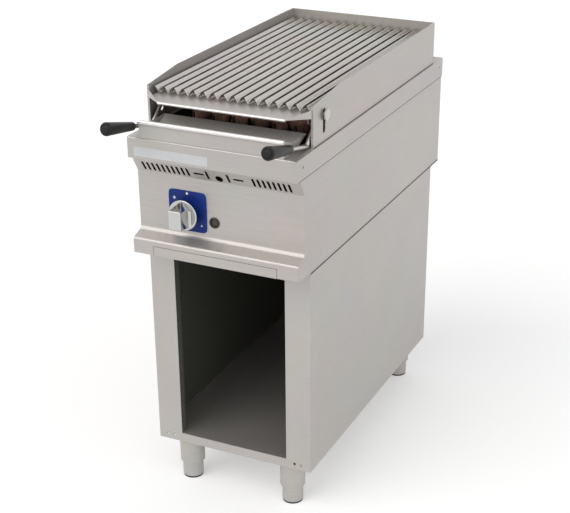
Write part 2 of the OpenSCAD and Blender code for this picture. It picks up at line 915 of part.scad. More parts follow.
// One rough rock on its lowest corner: two rings of five corners between two poles
module rock(size, seed) {
    ring_z = 1 / sqrt(5);
    ring_r = 2 / sqrt(5);
    grow = rands(0.78, 1, 11, seed);
    low_ring = [for (k = [0:4]) [ring_r * cos(72 * k), ring_r * sin(72 * k), -ring_z] * grow[k]];
    high_ring = [for (k = [0:4])
        [ring_r * cos(72 * k + 36), ring_r * sin(72 * k + 36), ring_z] * grow[k + 5]];
    corners = concat([[0, 0, -1]], low_ring, high_ring, [[0, 0, grow[10]]]);
    faces = concat(
        [for (k = [0:4]) [0, 1 + k, 1 + (k + 1) % 5]],
        [for (k = [0:4]) [1 + k, 6 + k, 1 + (k + 1) % 5]],
        [for (k = [0:4]) [6 + k, 6 + (k + 1) % 5, 1 + (k + 1) % 5]],
        [for (k = [0:4]) [11, 6 + (k + 1) % 5, 6 + k]]);
    translate([0, 0, size / 2])
        polyhedron(corners * size / 2, faces);
}

// One layer of lava rocks, each over a bar of the rack
module lava_rocks() {
    along = floor((rack_back_y - rack_y - 8) / rock_pitch);
    color("sienna")
        placed()
            for (i = [-rack_bars:rack_bars])
                if (i % 2 != 0)
                    for (j = [0:along - 1])
                        translate([i * rock_pitch / 2, rack_y + 6 + rock_pitch * (j + 0.5), rack_z + gap])
                            rock(rock_size, (i + rack_bars) * 40 + j);
}

// ---------- gas train ----------

// Supply pipe along the left side, across the front and up to the valve
module gas_pipe() {
    y_front = side_front_y + 18;
    color("goldenrod")
        placed()
            bent_rod([[pipe_x, body_back_y - 24, pipe_z], [pipe_x, y_front, pipe_z],
                [pipe_x, y_front, knob_z], [knob_x - 15, y_front, knob_z]], pipe_d);
}

// Threaded inlet with a hexagon behind the rear sheet
module gas_inlet() {
    color("gold")
        placed()
            difference() {
                union() {
                    rod_y(body_back_y - 24, body_d + weld, pipe_x, pipe_z, inlet_d - 2);
                    rod_y(body_d, inlet_end_y, pipe_x, pipe_z, inlet_d);
                    translate([pipe_x, body_back_y - sheet - 9, pipe_z])
                        rotate([-90, 0, 0])
                            cylinder(h = 9, d = inlet_d + 9, $fn = 6);
                }
                rod_y(body_back_y - 25, inlet_end_y + past, pipe_x, pipe_z, inlet_d - 7);
            }
}

// Thin pipe from the valve to the injector
module feed_pipe() {
    y = valve_y + valve_l / 2;
    color("goldenrod")
        placed()
            bent_rod([[knob_x + 15, y, knob_z], [-20, y, knob_z], [-20, y, burner_z - 24],
                [0, box_y - 52, burner_z - 10], [0, box_y - 52, burner_z], [0, box_y - 40, burner_z]], 8);
}

// Valve body behind the panel, with bores for its plug and stem
module valve_body() {
    color("gold")
        placed()
            difference() {
                union() {
                    box([knob_x - 15, valve_y, knob_z - 15], [knob_x + 15, valve_y + valve_l, knob_z + 15]);
                    rod_y(panel_y + sheet, valve_y + weld, knob_x, knob_z, 24);
                }
                rod_y(valve_y + 6, valve_y + valve_l - 5, knob_x, knob_z, 18);
                rod_y(panel_y, valve_y + 7, knob_x, knob_z, stem_d + 2 * run);
            }
}

// Plug that turns in the valve and carries the stem
module valve_plug() {
    color("peru")
        placed()
            difference() {
                rod_y(valve_y + 6 + gap, valve_y + valve_l - 5 - gap, knob_x, knob_z, 18 - 2 * run);
                rod_y(valve_y + 5, valve_y + valve_l - 8, knob_x, knob_z, stem_d + 2 * run);
            }
}

// Stem: slides in the plug and turns with it
module valve_stem() {
    color("silver")
        placed()
            rod_y(knob_rear_y - knob_bore, valve_y + valve_l - 9 - knob_push, knob_x, knob_z, stem_d);
}

// Dial plate behind the knob
module dial_plate() {
    corner = 6;
    half = dial_side / 2;
    color("mediumblue")
        placed()
            difference() {
                union() {
                    box([dial_x - half + corner, dial_y, dial_z - half],
                        [dial_x + half - corner, panel_y, dial_z + half]);
                    box([dial_x - half, dial_y, dial_z - half + corner],
                        [dial_x + half, panel_y, dial_z + half - corner]);
                    for (sx = [-1, 1])
                        for (sz = [-1, 1])
                            rod_y(dial_y, panel_y, dial_x + sx * (half - corner),
                                dial_z + sz * (half - corner), 2 * corner);
                }
                rod_y(dial_y - past, panel_y + past, knob_x, knob_z, stem_hole_d);
            }
}

// Control knob: round skirt and a wing whose pointed end reaches the skirt's top
module knob() {
    skirt_t = 10;
    bevel = 3;
    front = knob_rear_y - skirt_t;
    tip = front - knob_l;
    root_y = front + weld;
    half = wing_w / 2;
    root = half + 7;
    high = wing_h / 2;
    top = knob_d / 2;
    flare_y = front - 12;
    color("silver")
        placed()
            difference() {
                union() {
                    translate([knob_x, knob_rear_y, knob_z])
                        rotate([90, 0, 0])
                            cylinder(h = skirt_t - bevel + weld, d1 = knob_d - 4, d2 = knob_d);
                    translate([knob_x, front + bevel, knob_z])
                        rotate([90, 0, 0])
                            cylinder(h = bevel, d1 = knob_d, d2 = knob_d - 2);
                    translate([knob_x, 0, knob_z])
                        intersection() {
                            along_y([[-root, -top * 0.7], [root, -top * 0.7], [root, top - root],
                                [0, top], [-root, top - root]], tip, root_y);
                            along_x([[tip, -high], [root_y, -top * 0.75], [root_y, top - 1], [tip, high]],
                                -root, root);
                            translate([0, 0, -top])
                                linear_extrude(2 * top)
                                    polygon([[-half, tip], [half, tip], [half, flare_y], [root, root_y],
                                        [-root, root_y], [-half, flare_y]]);
                        }
                }
                rod_y(knob_rear_y - knob_bore, knob_rear_y + past, knob_x, knob_z, stem_d);
            }
}

// ---------- ignition ----------

// Pilot burner on a bracket from the firebox's front wall
module pilot_burner() {
    y = box_y + sheet;
    x0 = pilot_x - 14;
    x1 = pilot_x + 14;
    color("silver")
        placed()
            union() {
                box([x0, y, bracket_z - 8], [x1, y + sheet, bracket_z]);
                box([x0, y, bracket_z - sheet], [x1, pilot_y + 10, bracket_z]);
                rod_z(bracket_z - weld, bracket_z + 22, pilot_x, pilot_y, 10);
                rod_z(bracket_z + 18, bracket_z + 25, pilot_x, pilot_y, 14);
            }
}

// Thermocouple: sensing tip beside the pilot and its lead to the valve
module thermocouple() {
    x = pilot_x - 11;
    end = [knob_x + 8, valve_y + valve_l, knob_z + 6];
    color("darkgoldenrod")
        placed()
            union() {
                rod_z(bracket_z, bracket_z + 28, x, pilot_y, 5);
                bent_rod([[x, pilot_y, bracket_z + 2], [x, pilot_y - 10, bracket_z + 4],
                    [x, box_y - 12, bracket_z + 4], end + [0, 6, 0], end], 3);
            }
}

// Spark electrode: ceramic body and pointed wire
module spark_electrode() {
    color("white")
        placed()
            union() {
                rod_z(bracket_z, bracket_z + 20, electrode_x, pilot_y, 6);
                rod_z(bracket_z + 20 - weld, bracket_z + 30, electrode_x, pilot_y, 2);
            }
}

// Lead from the igniter to the electrode
module ignition_lead() {
    bend_y = box_y - 9;
    color("dimgray")
        placed()
            bent_rod([[electrode_x, pilot_y - 3 - gap, burner_z + 16], [electrode_x, bend_y, burner_z + 16],
                [electrode_x, bend_y, igniter_z], [igniter_x, bend_y, igniter_z],
                [igniter_x, panel_y + igniter_l, igniter_z]], 2.6);
}

// Igniter: barrel through the panel with a bore for its button
module igniter_body() {
    hole = bezel_d - 6;
    color("dimgray")
        placed()
            difference() {
                rod_y(panel_y, panel_y + igniter_l, igniter_x, igniter_z, hole - 0.2);
                rod_y(panel_y - past, panel_y + 22, igniter_x, igniter_z, hole - 4 + 2 * run);
            }
}

// Bezel ring on the front of the panel
module igniter_bezel() {
    color("black")
        placed()
            difference() {
                union() {
                    rod_y(panel_y - 1.5, panel_y, igniter_x, igniter_z, bezel_d);
                    rod_y(panel_y - 3, panel_y - 1.5 + weld, igniter_x, igniter_z, bezel_d - 2);
                }
                rod_y(panel_y - 4, panel_y + past, igniter_x, igniter_z, bezel_d - 10 + 2 * run);
            }
}

// Nut behind the panel
module igniter_nut() {
    hole = bezel_d - 6;
    color("silver")
        placed()
            difference() {
                translate([igniter_x, panel_y + sheet, igniter_z])
                    rotate([-90, 0, 0])
                        cylinder(h = 5, d = bezel_d + 3, $fn = 6);
                rod_y(panel_y, panel_y + 10, igniter_x, igniter_z, hole - 0.2);
            }
}

// Push button of the igniter
module igniter_button() {
    color("firebrick")
        placed()
            rod_y(panel_y - 1, panel_y + 21 - button_push, igniter_x, igniter_z, bezel_d - 10);
}

// ---------- guards ----------

// Right side guard with its lifting slot and a rearward notch at the slot's top
module guard_side_shape() {
    out = guard_half;
    slope_end = guard_y + guard_slope_l;
    outline = [[guard_y, top_z], [guard_y, top_z + guard_front_h], [slope_end, top_z + guard_h],
        [guard_back_y, top_z + guard_h], [guard_back_y, top_z]];
    slot_top = shaft_z + bar_d / 2 + 8.5;
    slot_low = shaft_z - slot_drop - bar_d / 2;
    notch_low = shaft_z - bar_d / 2 - 0.5;
    cut_in = out - sheet - past;
    cut_out = out + past;
    half = slot_w / 2;
    difference() {
        union() {
            along_x(outline, out - sheet, out);
            box([out - 5, guard_y, top_z], [out - sheet + weld, guard_y + sheet, top_z + guard_front_h - 1]);
        }
        box([cut_in, shaft_y - half, slot_low + half], [cut_out, shaft_y + half, slot_top - 3]);
        rod_x(cut_in, cut_out, shaft_y, slot_low + half, slot_w);
        box([cut_in, shaft_y - 2, notch_low + 2], [cut_out, shaft_y + half + 11, slot_top - 6]);
        rod_x(cut_in, cut_out, shaft_y + half + 5, notch_low + 7, slot_w);
        rod_x(cut_in, cut_out, shaft_y, slot_top - 5, slot_w - 1);
    }
}

module guard_right() {
    color("silver")
        placed()
            guard_side_shape();
}

module guard_left() {
    color("silver")
        placed()
            mirror_x()
                guard_side_shape();
}

// Rear guard with flanges that lie inside the side guards
module guard_rear() {
    in = guard_half - sheet;
    color("silver")
        placed()
            union() {
                box([-in, guard_back_y - sheet, top_z], [in, guard_back_y, top_z + guard_h]);
                for (s = [0, 1])
                    mirror([s, 0, 0])
                        box([in - sheet, guard_back_y - 34, top_z],
                            [in, guard_back_y - sheet + weld, top_z + guard_h]);
            }
}

// Bosses on the side guards that hold the rear pivot rod
module pivot_bosses() {
    in = guard_half - sheet;
    color("silver")
        placed()
            for (s = [0, 1])
                mirror([s, 0, 0])
                    difference() {
                        rod_x(in - 12, in - sheet, pivot_y, pivot_z, pivot_d + 9);
                        rod_x(in - 13, in + past, pivot_y, pivot_z, pivot_d);
                    }
}

// Rod on which the grate tilts
module pivot_rod() {
    in = guard_half - sheet;
    color("silver")
        placed()
            rod_x(-in + sheet, in - sheet, pivot_y, pivot_z, pivot_d);
}

// ---------- grate ----------

// V channels that carry the food and lead the fat to the front
module grate_channels() {
    half = channel_w / 2;
    top = channel_z + channel_h;
    outline = folded([[-half, top], [0, channel_z], [half, top]], channel_t);
    color("silver")
        placed()
            for (i = [0:channels - 1])
                translate([(i - (channels - 1) / 2) * channel_pitch, 0, 0])
                    along_y(outline, channel_y, channel_back_y);
}

// Frame: two side rails on the pivot rod and the lever's shaft, with cross bars
module grate_frame() {
    color("silver")
        placed()
            difference() {
                union() {
                    for (x = [-rail_x - bar_t, rail_x])
                        box([x, rail_y, rail_z], [x + bar_t, pivot_y + 13, rail_z + rail_h]);
                    for (y = [shaft_y - 11, (shaft_y + pivot_y) / 2, pivot_y - 12])
                        box([-rail_x - bar_t - bar_reach, y, rail_z + rail_h - weld],
                            [rail_x + bar_t + bar_reach, y + 24, channel_z]);
                }
                rod_x(-rail_x - bar_t - past, rail_x + bar_t + past, shaft_y, shaft_z, bar_d + 2 * run);
                rod_x(-rail_x - bar_t - past, rail_x + bar_t + past, pivot_y, pivot_z, pivot_d + 2 * run);
            }
}

// Chute under the channels' front ends, with side flaps and a hemmed outlet
module grate_chute() {
    z = rail_z + rail_h;
    half = chute_half;
    hem = 6;
    wide = rail_x + bar_t + 3;
    side_y = guard_y - 2.5;
    back = shaft_y - 12;
    far_x = guard_half - 2.5;
    slant = atan2(side_y - chute_y, far_x - half);
    flap_l = norm([far_x - half, side_y - chute_y]);
    color("silver")
        placed()
            union() {
                translate([0, 0, z])
                    linear_extrude(sheet)
                        polygon([[-half, chute_y], [half, chute_y], [far_x, side_y], [wide + 8, side_y],
                            [wide + 8, channel_y], [wide, back], [-wide, back], [-wide - 8, channel_y],
                            [-wide - 8, side_y], [-far_x, side_y]]);
                rod_x(-half, half, chute_y, z + sheet - hem / 2, hem);
                for (s = [0, 1])
                    mirror([s, 0, 0])
                        translate([half, chute_y, z])
                            rotate([0, 0, slant])
                                along_x([[0, -1.5], [sheet, -1.5], [sheet, 2], [0, 2]], 0, flap_l);
                for (s = [0, 1])
                    mirror([s, 0, 0])
                        translate([half, chute_y, z])
                            rotate([90, 0, slant])
                                translate([0, 0, -sheet])
                                    linear_extrude(sheet)
                                        polygon([[0, 0], [flap_l, 0], [flap_l, channel_h + 4], [8, 2]]);
            }
}

// ---------- lever ----------

// Points of one arm, from the shaft over the elbow to the grip's front
function arm_points(x) = [
    [x, shaft_y, shaft_z],
    [x, elbow_y, elbow_z],
    [x, grip_tip_y + 3 * cos(handle_rise), elbow_z + (handle_l - 3) * sin(handle_rise)],
];

// Lever: shaft through both slots, with a bent arm at each side
module lever_bar() {
    color("silver")
        placed()
            union() {
                rod_x(-guard_half - 5, guard_half + 5, shaft_y, shaft_z, bar_d);
                for (x = [-arm_x, arm_x]) {
                    bent_rod(arm_points(x), bar_d);
                    rod_x(x - 5, x + 5, shaft_y, shaft_z, bar_d + 2);
                }
            }
}

// Disc heads that keep the shaft in the slots
module lever_heads() {
    head_t = 3;
    color("silver")
        placed()
            for (s = [0, 1])
                mirror([s, 0, 0])
                    rod_x(guard_half + 5, guard_half + 5 + head_t, shaft_y, shaft_z, head_d);
}

// Tapered heat-proof grips with domed fronts
module lever_grips() {
    dome = 4;
    color("black")
        placed()
            for (x = [-arm_x, arm_x])
                translate([x, grip_tip_y, elbow_z + handle_l * sin(handle_rise)])
                    rotate([-90 - handle_rise, 0, 0])
                        difference() {
                            union() {
                                cylinder(h = dome + weld, d1 = grip_nose_d, d2 = grip_d);
                                translate([0, 0, dome])
                                    cylinder(h = grip_l - 2 * dome, d1 = grip_d, d2 = grip_back_d);
                                translate([0, 0, grip_l - dome - weld])
                                    cylinder(h = dome, d1 = grip_back_d, d2 = grip_back_d - 6);
                            }
                            translate([0, 0, 2.9])
                                cylinder(h = grip_l, d = bar_d + 2 * run);
                        }
}

// Grease gutter: front wall with a beaded edge, flat and sloping floor, end walls
module gutter() {
    low = top_z + gap;
    back_y = gutter_d + 1;
    back_z = top_z + gutter_back_h;
    top = low + gutter_h;
    bead = 9;
    color("silver")
        placed()
            union() {
                along_x(folded([[3, top], [1, low], [48, low], [back_y, back_z]], sheet),
                    -gutter_half, gutter_half);
                rod_x(-gutter_half, gutter_half, 3 + sheet - bead / 2, top + 1 - bead / 2, bead);
                for (x = [-gutter_half, gutter_half - sheet])
                    along_x([[1, low], [48, low], [back_y, back_z], [back_y, back_z + 1],
                        [44, back_z + 1], [5, top - 2], [3, top - 2]], x, x + sheet);
            }
}

stand_side_left();
stand_side_right();
stand_shelf();
stand_back();
stand_rails();
leg_sleeves();
leg_bolts();
foot_front_left();
foot_front_right();
foot_rear_left();
foot_rear_right();
pad_front_left();
pad_front_right();
pad_rear_left();
pad_rear_right();
body_side_left();
body_side_right();
body_back();
body_floor();
fascia();
worktop();
join_screws();
drawer_runners();
drawer_pan();
drawer_front();
firebox();
flue_duct();
burner();
air_shutter();
injector();
lava_rack();
lava_rocks();
gas_pipe();
gas_inlet();
feed_pipe();
valve_body();
valve_plug();
valve_stem();
knob();
dial_plate();
pilot_burner();
thermocouple();
spark_electrode();
ignition_lead();
igniter_body();
igniter_bezel();
igniter_nut();
igniter_button();
guard_left();
guard_right();
guard_rear();
pivot_rod();
pivot_bosses();
grate_channels();
grate_frame();
grate_chute();
lever_bar();
lever_heads();
lever_grips();
gutter();
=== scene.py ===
"""Looks of a gas charbroiler grill on an open stand, laid over its packed construction model.

Every piece is in metres in the frame of the construction model: X to the right, Y from the front to the rear,
Z up from the floor. New pieces are surfaces worked out with numpy and take their places from the model's own boxes.
"""

import math

import bpy
import numpy as np
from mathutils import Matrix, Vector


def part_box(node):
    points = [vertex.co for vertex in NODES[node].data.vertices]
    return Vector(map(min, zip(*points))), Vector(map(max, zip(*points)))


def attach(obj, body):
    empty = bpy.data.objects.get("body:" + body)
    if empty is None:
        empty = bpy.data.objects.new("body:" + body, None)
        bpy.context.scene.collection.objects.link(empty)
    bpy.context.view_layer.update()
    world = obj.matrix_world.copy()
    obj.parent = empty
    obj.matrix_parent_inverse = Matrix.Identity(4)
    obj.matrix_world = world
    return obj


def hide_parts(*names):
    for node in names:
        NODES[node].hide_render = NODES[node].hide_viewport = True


bl_info = {
    "name": "Charbroiler grill looks",
    "version": (1, 0, 0),
    "blender": (4, 5, 0),
    "location": "View3D > Sidebar > Grill",
    "description": "Builds the visible pieces, finishes and studio of a gas charbroiler grill",
    "category": "Object",
}

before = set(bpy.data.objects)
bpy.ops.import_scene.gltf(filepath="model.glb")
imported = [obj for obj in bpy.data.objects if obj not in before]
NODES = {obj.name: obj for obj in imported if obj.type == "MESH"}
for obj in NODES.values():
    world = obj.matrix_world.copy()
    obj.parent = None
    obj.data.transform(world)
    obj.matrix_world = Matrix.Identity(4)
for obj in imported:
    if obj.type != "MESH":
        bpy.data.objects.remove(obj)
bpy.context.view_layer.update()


# ---------- colours and nodes ----------

def linear(code):
    """Linear RGB of an sRGB hex colour such as '#BAB5B2'."""
    srgb = np.array([int(code[i:i + 2], 16) for i in (1, 3, 5)]) / 255
    value = np.where(srgb <= 0.04045, srgb / 12.92, ((srgb + 0.055) / 1.055) ** 2.4)
    return tuple(float(v) for v in value)


def add_node(tree, kind, settings=None, links=None):
    """Adds a node, sets its values and sockets, and links its inputs from (node, output) pairs."""
    node = tree.nodes.new(kind)
    for name, value in (settings or {}).items():
        if isinstance(name, str) and name in node.bl_rna.properties:
            setattr(node, name, value)
        else:
            node.inputs[name].default_value = value
    for name, (source, output) in (links or {}).items():
        tree.links.new(source.outputs[output], node.inputs[name])
    return node


def new_material(name):
    """An empty node material and its output node."""
    material = bpy.data.materials.new(name)
    material.use_nodes = True
    material.node_tree.nodes.clear()
    output = material.node_tree.nodes.new("ShaderNodeOutputMaterial")
    return material, material.node_tree, output


def rgba(colour):
    """A colour with full alpha, for a node's colour socket."""
    return (*colour[:3], 1.0)


def ramp(tree, source, output, stops):
    """A colour ramp over a value; stops are (position, linear colour) pairs."""
    node = add_node(tree, "ShaderNodeValToRGB", links={"Fac": (source, output)})
    elements = node.color_ramp.elements
    while len(elements) < len(stops):
        elements.new(0.5)
    for element, (position, colour) in zip(elements, stops):
        element.position = position
        element.color = rgba(colour)
    return node


# ---------- materials ----------

def brushed_sheet(name, colour, roughness, grain=0.0016, depth=0.00002, metallic=0.9):
    """AISI 304 sheet, brushed along its length: a satin metal with fine straight grain.

    The real grain is about 0.1 mm apart, too fine to show, so it is drawn about 1.6 mm apart.
    """
    material, tree, output = new_material(name)
    place = add_node(tree, "ShaderNodeTexCoord")
    # upright faces: grain runs level, so the noise is stretched along X and Y
    level = add_node(tree, "ShaderNodeMapping", {"Scale": (12.0, 12.0, 1 / grain)}, {"Vector": (place, "Object")})
    # lying faces: grain runs from front to rear
    along = add_node(tree, "ShaderNodeMapping", {"Scale": (1 / grain, 12.0, 12.0)}, {"Vector": (place, "Object")})
    upright = add_node(tree, "ShaderNodeTexNoise", {"Scale": 1.0, "Detail": 3.0, "Roughness": 0.6},
                       {"Vector": (level, "Vector")})
    lying = add_node(tree, "ShaderNodeTexNoise", {"Scale": 1.0, "Detail": 3.0, "Roughness": 0.6},
                     {"Vector": (along, "Vector")})
    facing = add_node(tree, "ShaderNodeNewGeometry")
    split = add_node(tree, "ShaderNodeSeparateXYZ", links={"Vector": (facing, "True Normal")})
    flat = add_node(tree, "ShaderNodeMath", {"operation": "ABSOLUTE"}, {0: (split, "Z")})
    grain_mix = add_node(tree, "ShaderNodeMix", {"data_type": "FLOAT"})
    tree.links.new(flat.outputs[0], grain_mix.inputs[0])
    tree.links.new(upright.outputs["Fac"], grain_mix.inputs[2])
    tree.links.new(lying.outputs["Fac"], grain_mix.inputs[3])
    # broad soft clouds: handling and rolling marks
    cloud = add_node(tree, "ShaderNodeTexNoise", {"Scale": 6.0, "Detail": 2.0}, {"Vector": (place, "Object")})
    colour_grain = ramp(tree, grain_mix, 0, [(0.3, [c * 0.93 for c in colour]), (0.7, [c * 1.05 for c in colour])])
    colour_cloud = add_node(tree, "ShaderNodeMix", {"data_type": "RGBA", "blend_type": "MULTIPLY", "Factor": 0.12})
    tree.links.new(colour_grain.outputs[0], colour_cloud.inputs[6])
    tree.links.new(cloud.outputs["Color"], colour_cloud.inputs[7])
    rough = add_node(tree, "ShaderNodeMapRange", {"To Min": roughness - 0.06, "To Max": roughness + 0.08},
                     {"Value": (grain_mix, 0)})
    bump = add_node(tree, "ShaderNodeBump", {"Strength": 0.25, "Distance": depth}, {"Height": (grain_mix, 0)})
    shader = add_node(tree, "ShaderNodeBsdfPrincipled", {"Metallic": metallic},
                      {"Base Color": (colour_cloud, 2), "Roughness": (rough, 0), "Normal": (bump, 0)})
    tree.links.new(shader.outputs[0], output.inputs[0])
    return material


def speckled(name, colours, size, roughness, metallic=0.0, bump_depth=0.0, coat=0.0, specular=0.5, spread=0.08):
    """A surface with irregular speckles about size metres wide, between two colours and two roughnesses."""
    material, tree, output = new_material(name)
    place = add_node(tree, "ShaderNodeTexCoord")
    noise = add_node(tree, "ShaderNodeTexNoise", {"Scale": 1 / size, "Detail": 5.0, "Roughness": 0.65},
                     {"Vector": (place, "Object")})
    colour = ramp(tree, noise, 0, [(0.3, colours[0]), (0.7, colours[1])])
    rough = add_node(tree, "ShaderNodeMapRange",
                     {"To Min": max(roughness - spread, 0.02), "To Max": roughness + spread}, {"Value": (noise, 0)})
    settings = {"Metallic": metallic, "Coat Weight": coat, "Coat Roughness": 0.08, "Specular IOR Level": specular}
    links = {"Base Color": (colour, 0), "Roughness": (rough, 0)}
    if bump_depth:
        bump = add_node(tree, "ShaderNodeBump", {"Strength": 0.6, "Distance": bump_depth}, {"Height": (noise, 0)})
        links["Normal"] = (bump, 0)
    shader = add_node(tree, "ShaderNodeBsdfPrincipled", settings, links)
    tree.links.new(shader.outputs[0], output.inputs[0])
    return material


def lava_stone(name, dark, light):
    """Volcanic rock: matt, red-brown, full of small pores whose floors are darkened as painted shade."""
    material, tree, output = new_material(name)
    place = add_node(tree, "ShaderNodeTexCoord")
    tint = add_node(tree, "ShaderNodeTexNoise", {"Scale": 30.0, "Detail": 6.0, "Roughness": 0.7},
                    {"Vector": (place, "Object")})
    pores = add_node(tree, "ShaderNodeTexVoronoi", {"Scale": 260.0}, {"Vector": (place, "Object")})
    # pore mask: darkens the pore floors as painted shade and sinks them in the bump
    pore_shade_and_depth = add_node(tree, "ShaderNodeMapRange", {"From Min": 0.12, "From Max": 0.4}, {"Value": (pores, 0)})
    colour = ramp(tree, tint, 0, [(0.3, dark), (0.68, light)])
    shade = add_node(tree, "ShaderNodeMix", {"data_type": "RGBA", "blend_type": "MULTIPLY", "Factor": 0.75})
    tree.links.new(colour.outputs[0], shade.inputs[6])
    tree.links.new(pore_shade_and_depth.outputs[0], shade.inputs[7])
    height = add_node(tree, "ShaderNodeMath", {"operation": "MULTIPLY_ADD", 1: 0.6},
                      {0: (pore_shade_and_depth, 0), 2: (tint, 0)})
    bump = add_node(tree, "ShaderNodeBump", {"Strength": 0.9, "Distance": 0.0015}, {"Height": (height, 0)})
    shader = add_node(tree, "ShaderNodeBsdfPrincipled", {"Roughness": 0.93},
                      {"Base Color": (shade, 2), "Normal": (bump, 0)})
    tree.links.new(shader.outputs[0], output.inputs[0])
    return material


MATERIALS = {}


def make_materials(looks):
    """All finishes, each named for what the real one is, or for the painted light or shade it carries."""
    sheet, inner, dark = looks.sheet_colour[:], looks.inner_colour[:], looks.fire_colour[:]
    MATERIALS.update({
        # brushed stainless sheet: satin, soft reflections
        "sheet": brushed_sheet("brushed_stainless_sheet", sheet, 0.4, metallic=0.66),
        # the gutter: the same sheet, dulled by fat
        "dull": brushed_sheet("dulled_stainless_sheet", sheet, 0.5, metallic=0.45),
        # polished bar; rolled edges, polished and lighter than the sheet, the lighter colour a painted highlight
        "bar": brushed_sheet("bright_stainless_bar", linear("#C9C6C2"), 0.26, grain=0.0008),
        "edge": speckled("polished_edge_painted_highlight", (linear("#DAD8D5"), linear("#E8E6E4")), 0.02, 0.3, 0.6),
        # thin dark strips in the gaps between sheets: painted shade, standing in for the shadow those gaps throw
        "shade_strip": speckled("painted_gap_shadow", (linear("#3A3B38"), linear("#4C4D49")), 0.01, 0.8),
        # inner sheets: galvanised steel with a spangle, darkened as painted shade of the stand's inside
        "inner": speckled("galvanised_sheet_painted_shade", (inner, [c * 2.1 for c in inner]), 0.006, 0.55, 0.25, 0.0001),
        # fire-blackened steel
        "fire": speckled("heat_darkened_steel", (dark, [c * 2.2 for c in dark]), 0.012, 0.5, 0.6, 0.0001),
        "tube": speckled("zinc_plated_tube", (linear("#8B8A86"), linear("#A9A8A2")), 0.01, 0.38, 0.85),
        # volcanic rock: red-brown, its colours lightened as painted light for the shaded band under the chute
        "lava": lava_stone("volcanic_rock", looks.rock_dark[:], looks.rock_light[:]),
        "grip": speckled("moulded_phenolic", (linear("#0D0E0E"), linear("#191A1A")), 0.003, 0.42, 0.0, 0.00002, 0.0, 0.3),
        "chrome": speckled("chrome_plate", (linear("#BEBEBD"), linear("#C9C9C8")), 0.2, 0.13, 1.0, spread=0.01),
        "dial": speckled("screen_printed_enamel", (linear("#142A72"), linear("#1D3A8A")), 0.05, 0.35, 0.0, 0.0, 0.0, 0.2),
        "print": speckled("white_screen_print", (linear("#E6E8EE"), linear("#F2F3F6")), 0.01, 0.45),
        "film": speckled("matt_label_film", (linear("#C9CACC"), linear("#D2D3D5")), 0.02, 0.4),
        "brass": speckled("turned_brass", (linear("#B08A4A"), linear("#C9A765")), 0.008, 0.32, 1.0),
        "copper": speckled("drawn_copper", (linear("#A8623F"), linear("#C07A52")), 0.01, 0.35, 1.0),
        "aluminium": speckled("drawn_aluminium", (linear("#A9AAAC"), linear("#BDBEC0")), 0.01, 0.35, 1.0),
        "rubber": speckled("black_rubber", (linear("#1B1B1B"), linear("#262626")), 0.002, 0.75, 0.0, 0.00005),
        "ceramic": speckled("unglazed_ceramic", (linear("#D9D6CC"), linear("#E4E1D8")), 0.002, 0.55),
        "abs": speckled("black_abs", (linear("#0B0B0C"), linear("#151516")), 0.002, 0.28, 0.0, 0.00002, 0.2),
        "button": speckled("dark_red_abs", (linear("#2A0D0C"), linear("#45100E")), 0.003, 0.2, 0.0, 0.0, 0.4),
    })


def finish_part(name, key, chosen):
    """Gives a second finish to those faces of a construction node whose middles the function picks."""
    mesh = NODES[name].data
    mesh.materials.append(MATERIALS[key])
    for face in mesh.polygons:
        if chosen(face.center):
            face.material_index = len(mesh.materials) - 1


def finish_nodes(key, *names, inside=None):
    """Gives the named construction nodes one finish, and another to the faces that look to the middle plane."""
    for name in names:
        mesh = NODES[name].data
        mesh.materials.clear()
        mesh.materials.append(MATERIALS[key])
        if inside:
            mesh.materials.append(MATERIALS[inside])
            for face in mesh.polygons:
                face.material_index = int(face.normal.x * face.center.x < -0.05)


# ---------- surfaces ----------

def grid_quads(rows, columns, wrap_rows=False, wrap_columns=False):
    """Vertex numbers of the quads of a rows x columns grid, which may close on itself either way."""
    r = np.arange(rows if wrap_rows else rows - 1)
    c = np.arange(columns if wrap_columns else columns - 1)
    r, c = np.meshgrid(r, c, indexing="ij")
    r1, c1 = (r + 1) % rows, (c + 1) % columns
    return np.stack([r * columns + c, r * columns + c1, r1 * columns + c1, r1 * columns + c], -1).reshape(-1, 4)


def make_piece(name, parts, key, body, smooth=True):
    """One object from (points, quads, caps) parts; caps are lists of vertex numbers that close the ends."""
    points, faces, offset = [], [], 0
    for part_points, quads, caps in parts:
        flat = np.asarray(part_points, float).reshape(-1, 3)
        points.append(flat)
        faces += (np.asarray(quads) + offset).tolist()
        faces += [(np.asarray(cap) + offset).tolist() for cap in caps]
        offset += len(flat)
    mesh = bpy.data.meshes.new(name)
    mesh.from_pydata(np.concatenate(points).tolist(), [], faces)
    mesh.validate()
    mesh.polygons.foreach_set("use_smooth", np.full(len(mesh.polygons), smooth))
    mesh.materials.append(MATERIALS[key])
    mesh.update()
    piece = bpy.data.objects.new(name, mesh)
    bpy.context.scene.collection.objects.link(piece)
    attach(piece, body)
    return piece


def soften(piece, width, segments, angle):
    """Rounds a piece's edges that bend by more than an angle in degrees."""
    bevel = piece.modifiers.new("soft_edges", "BEVEL")
    bevel.width = width
    bevel.segments = segments
    bevel.limit_method = "ANGLE"
    bevel.angle_limit = math.radians(angle)


def lathe(profile, centre, axis, side, segments=48):
    """Turned shape: profile rows are (radius, distance along axis); the ring angle runs round the axis.

    point = centre + axis * distance + radius * (side * cos(angle) + (axis x side) * sin(angle)).
    """
    profile, axis, side = np.asarray(profile, float), np.asarray(axis, float), np.asarray(side, float)
    angle = np.linspace(0, 2 * math.pi, segments, endpoint=False)
    ring = np.outer(np.cos(angle), side) + np.outer(np.sin(angle), np.cross(axis, side))
    points = (np.asarray(centre, float) + profile[:, 1, None, None] * axis
              + profile[:, 0, None, None] * ring[None])
    quads = grid_quads(len(profile), segments, wrap_columns=True)
    first = list(range(segments))
    last = [(len(profile) - 1) * segments + i for i in range(segments)][::-1]
    return points, quads, [first[::-1], last[::-1]]


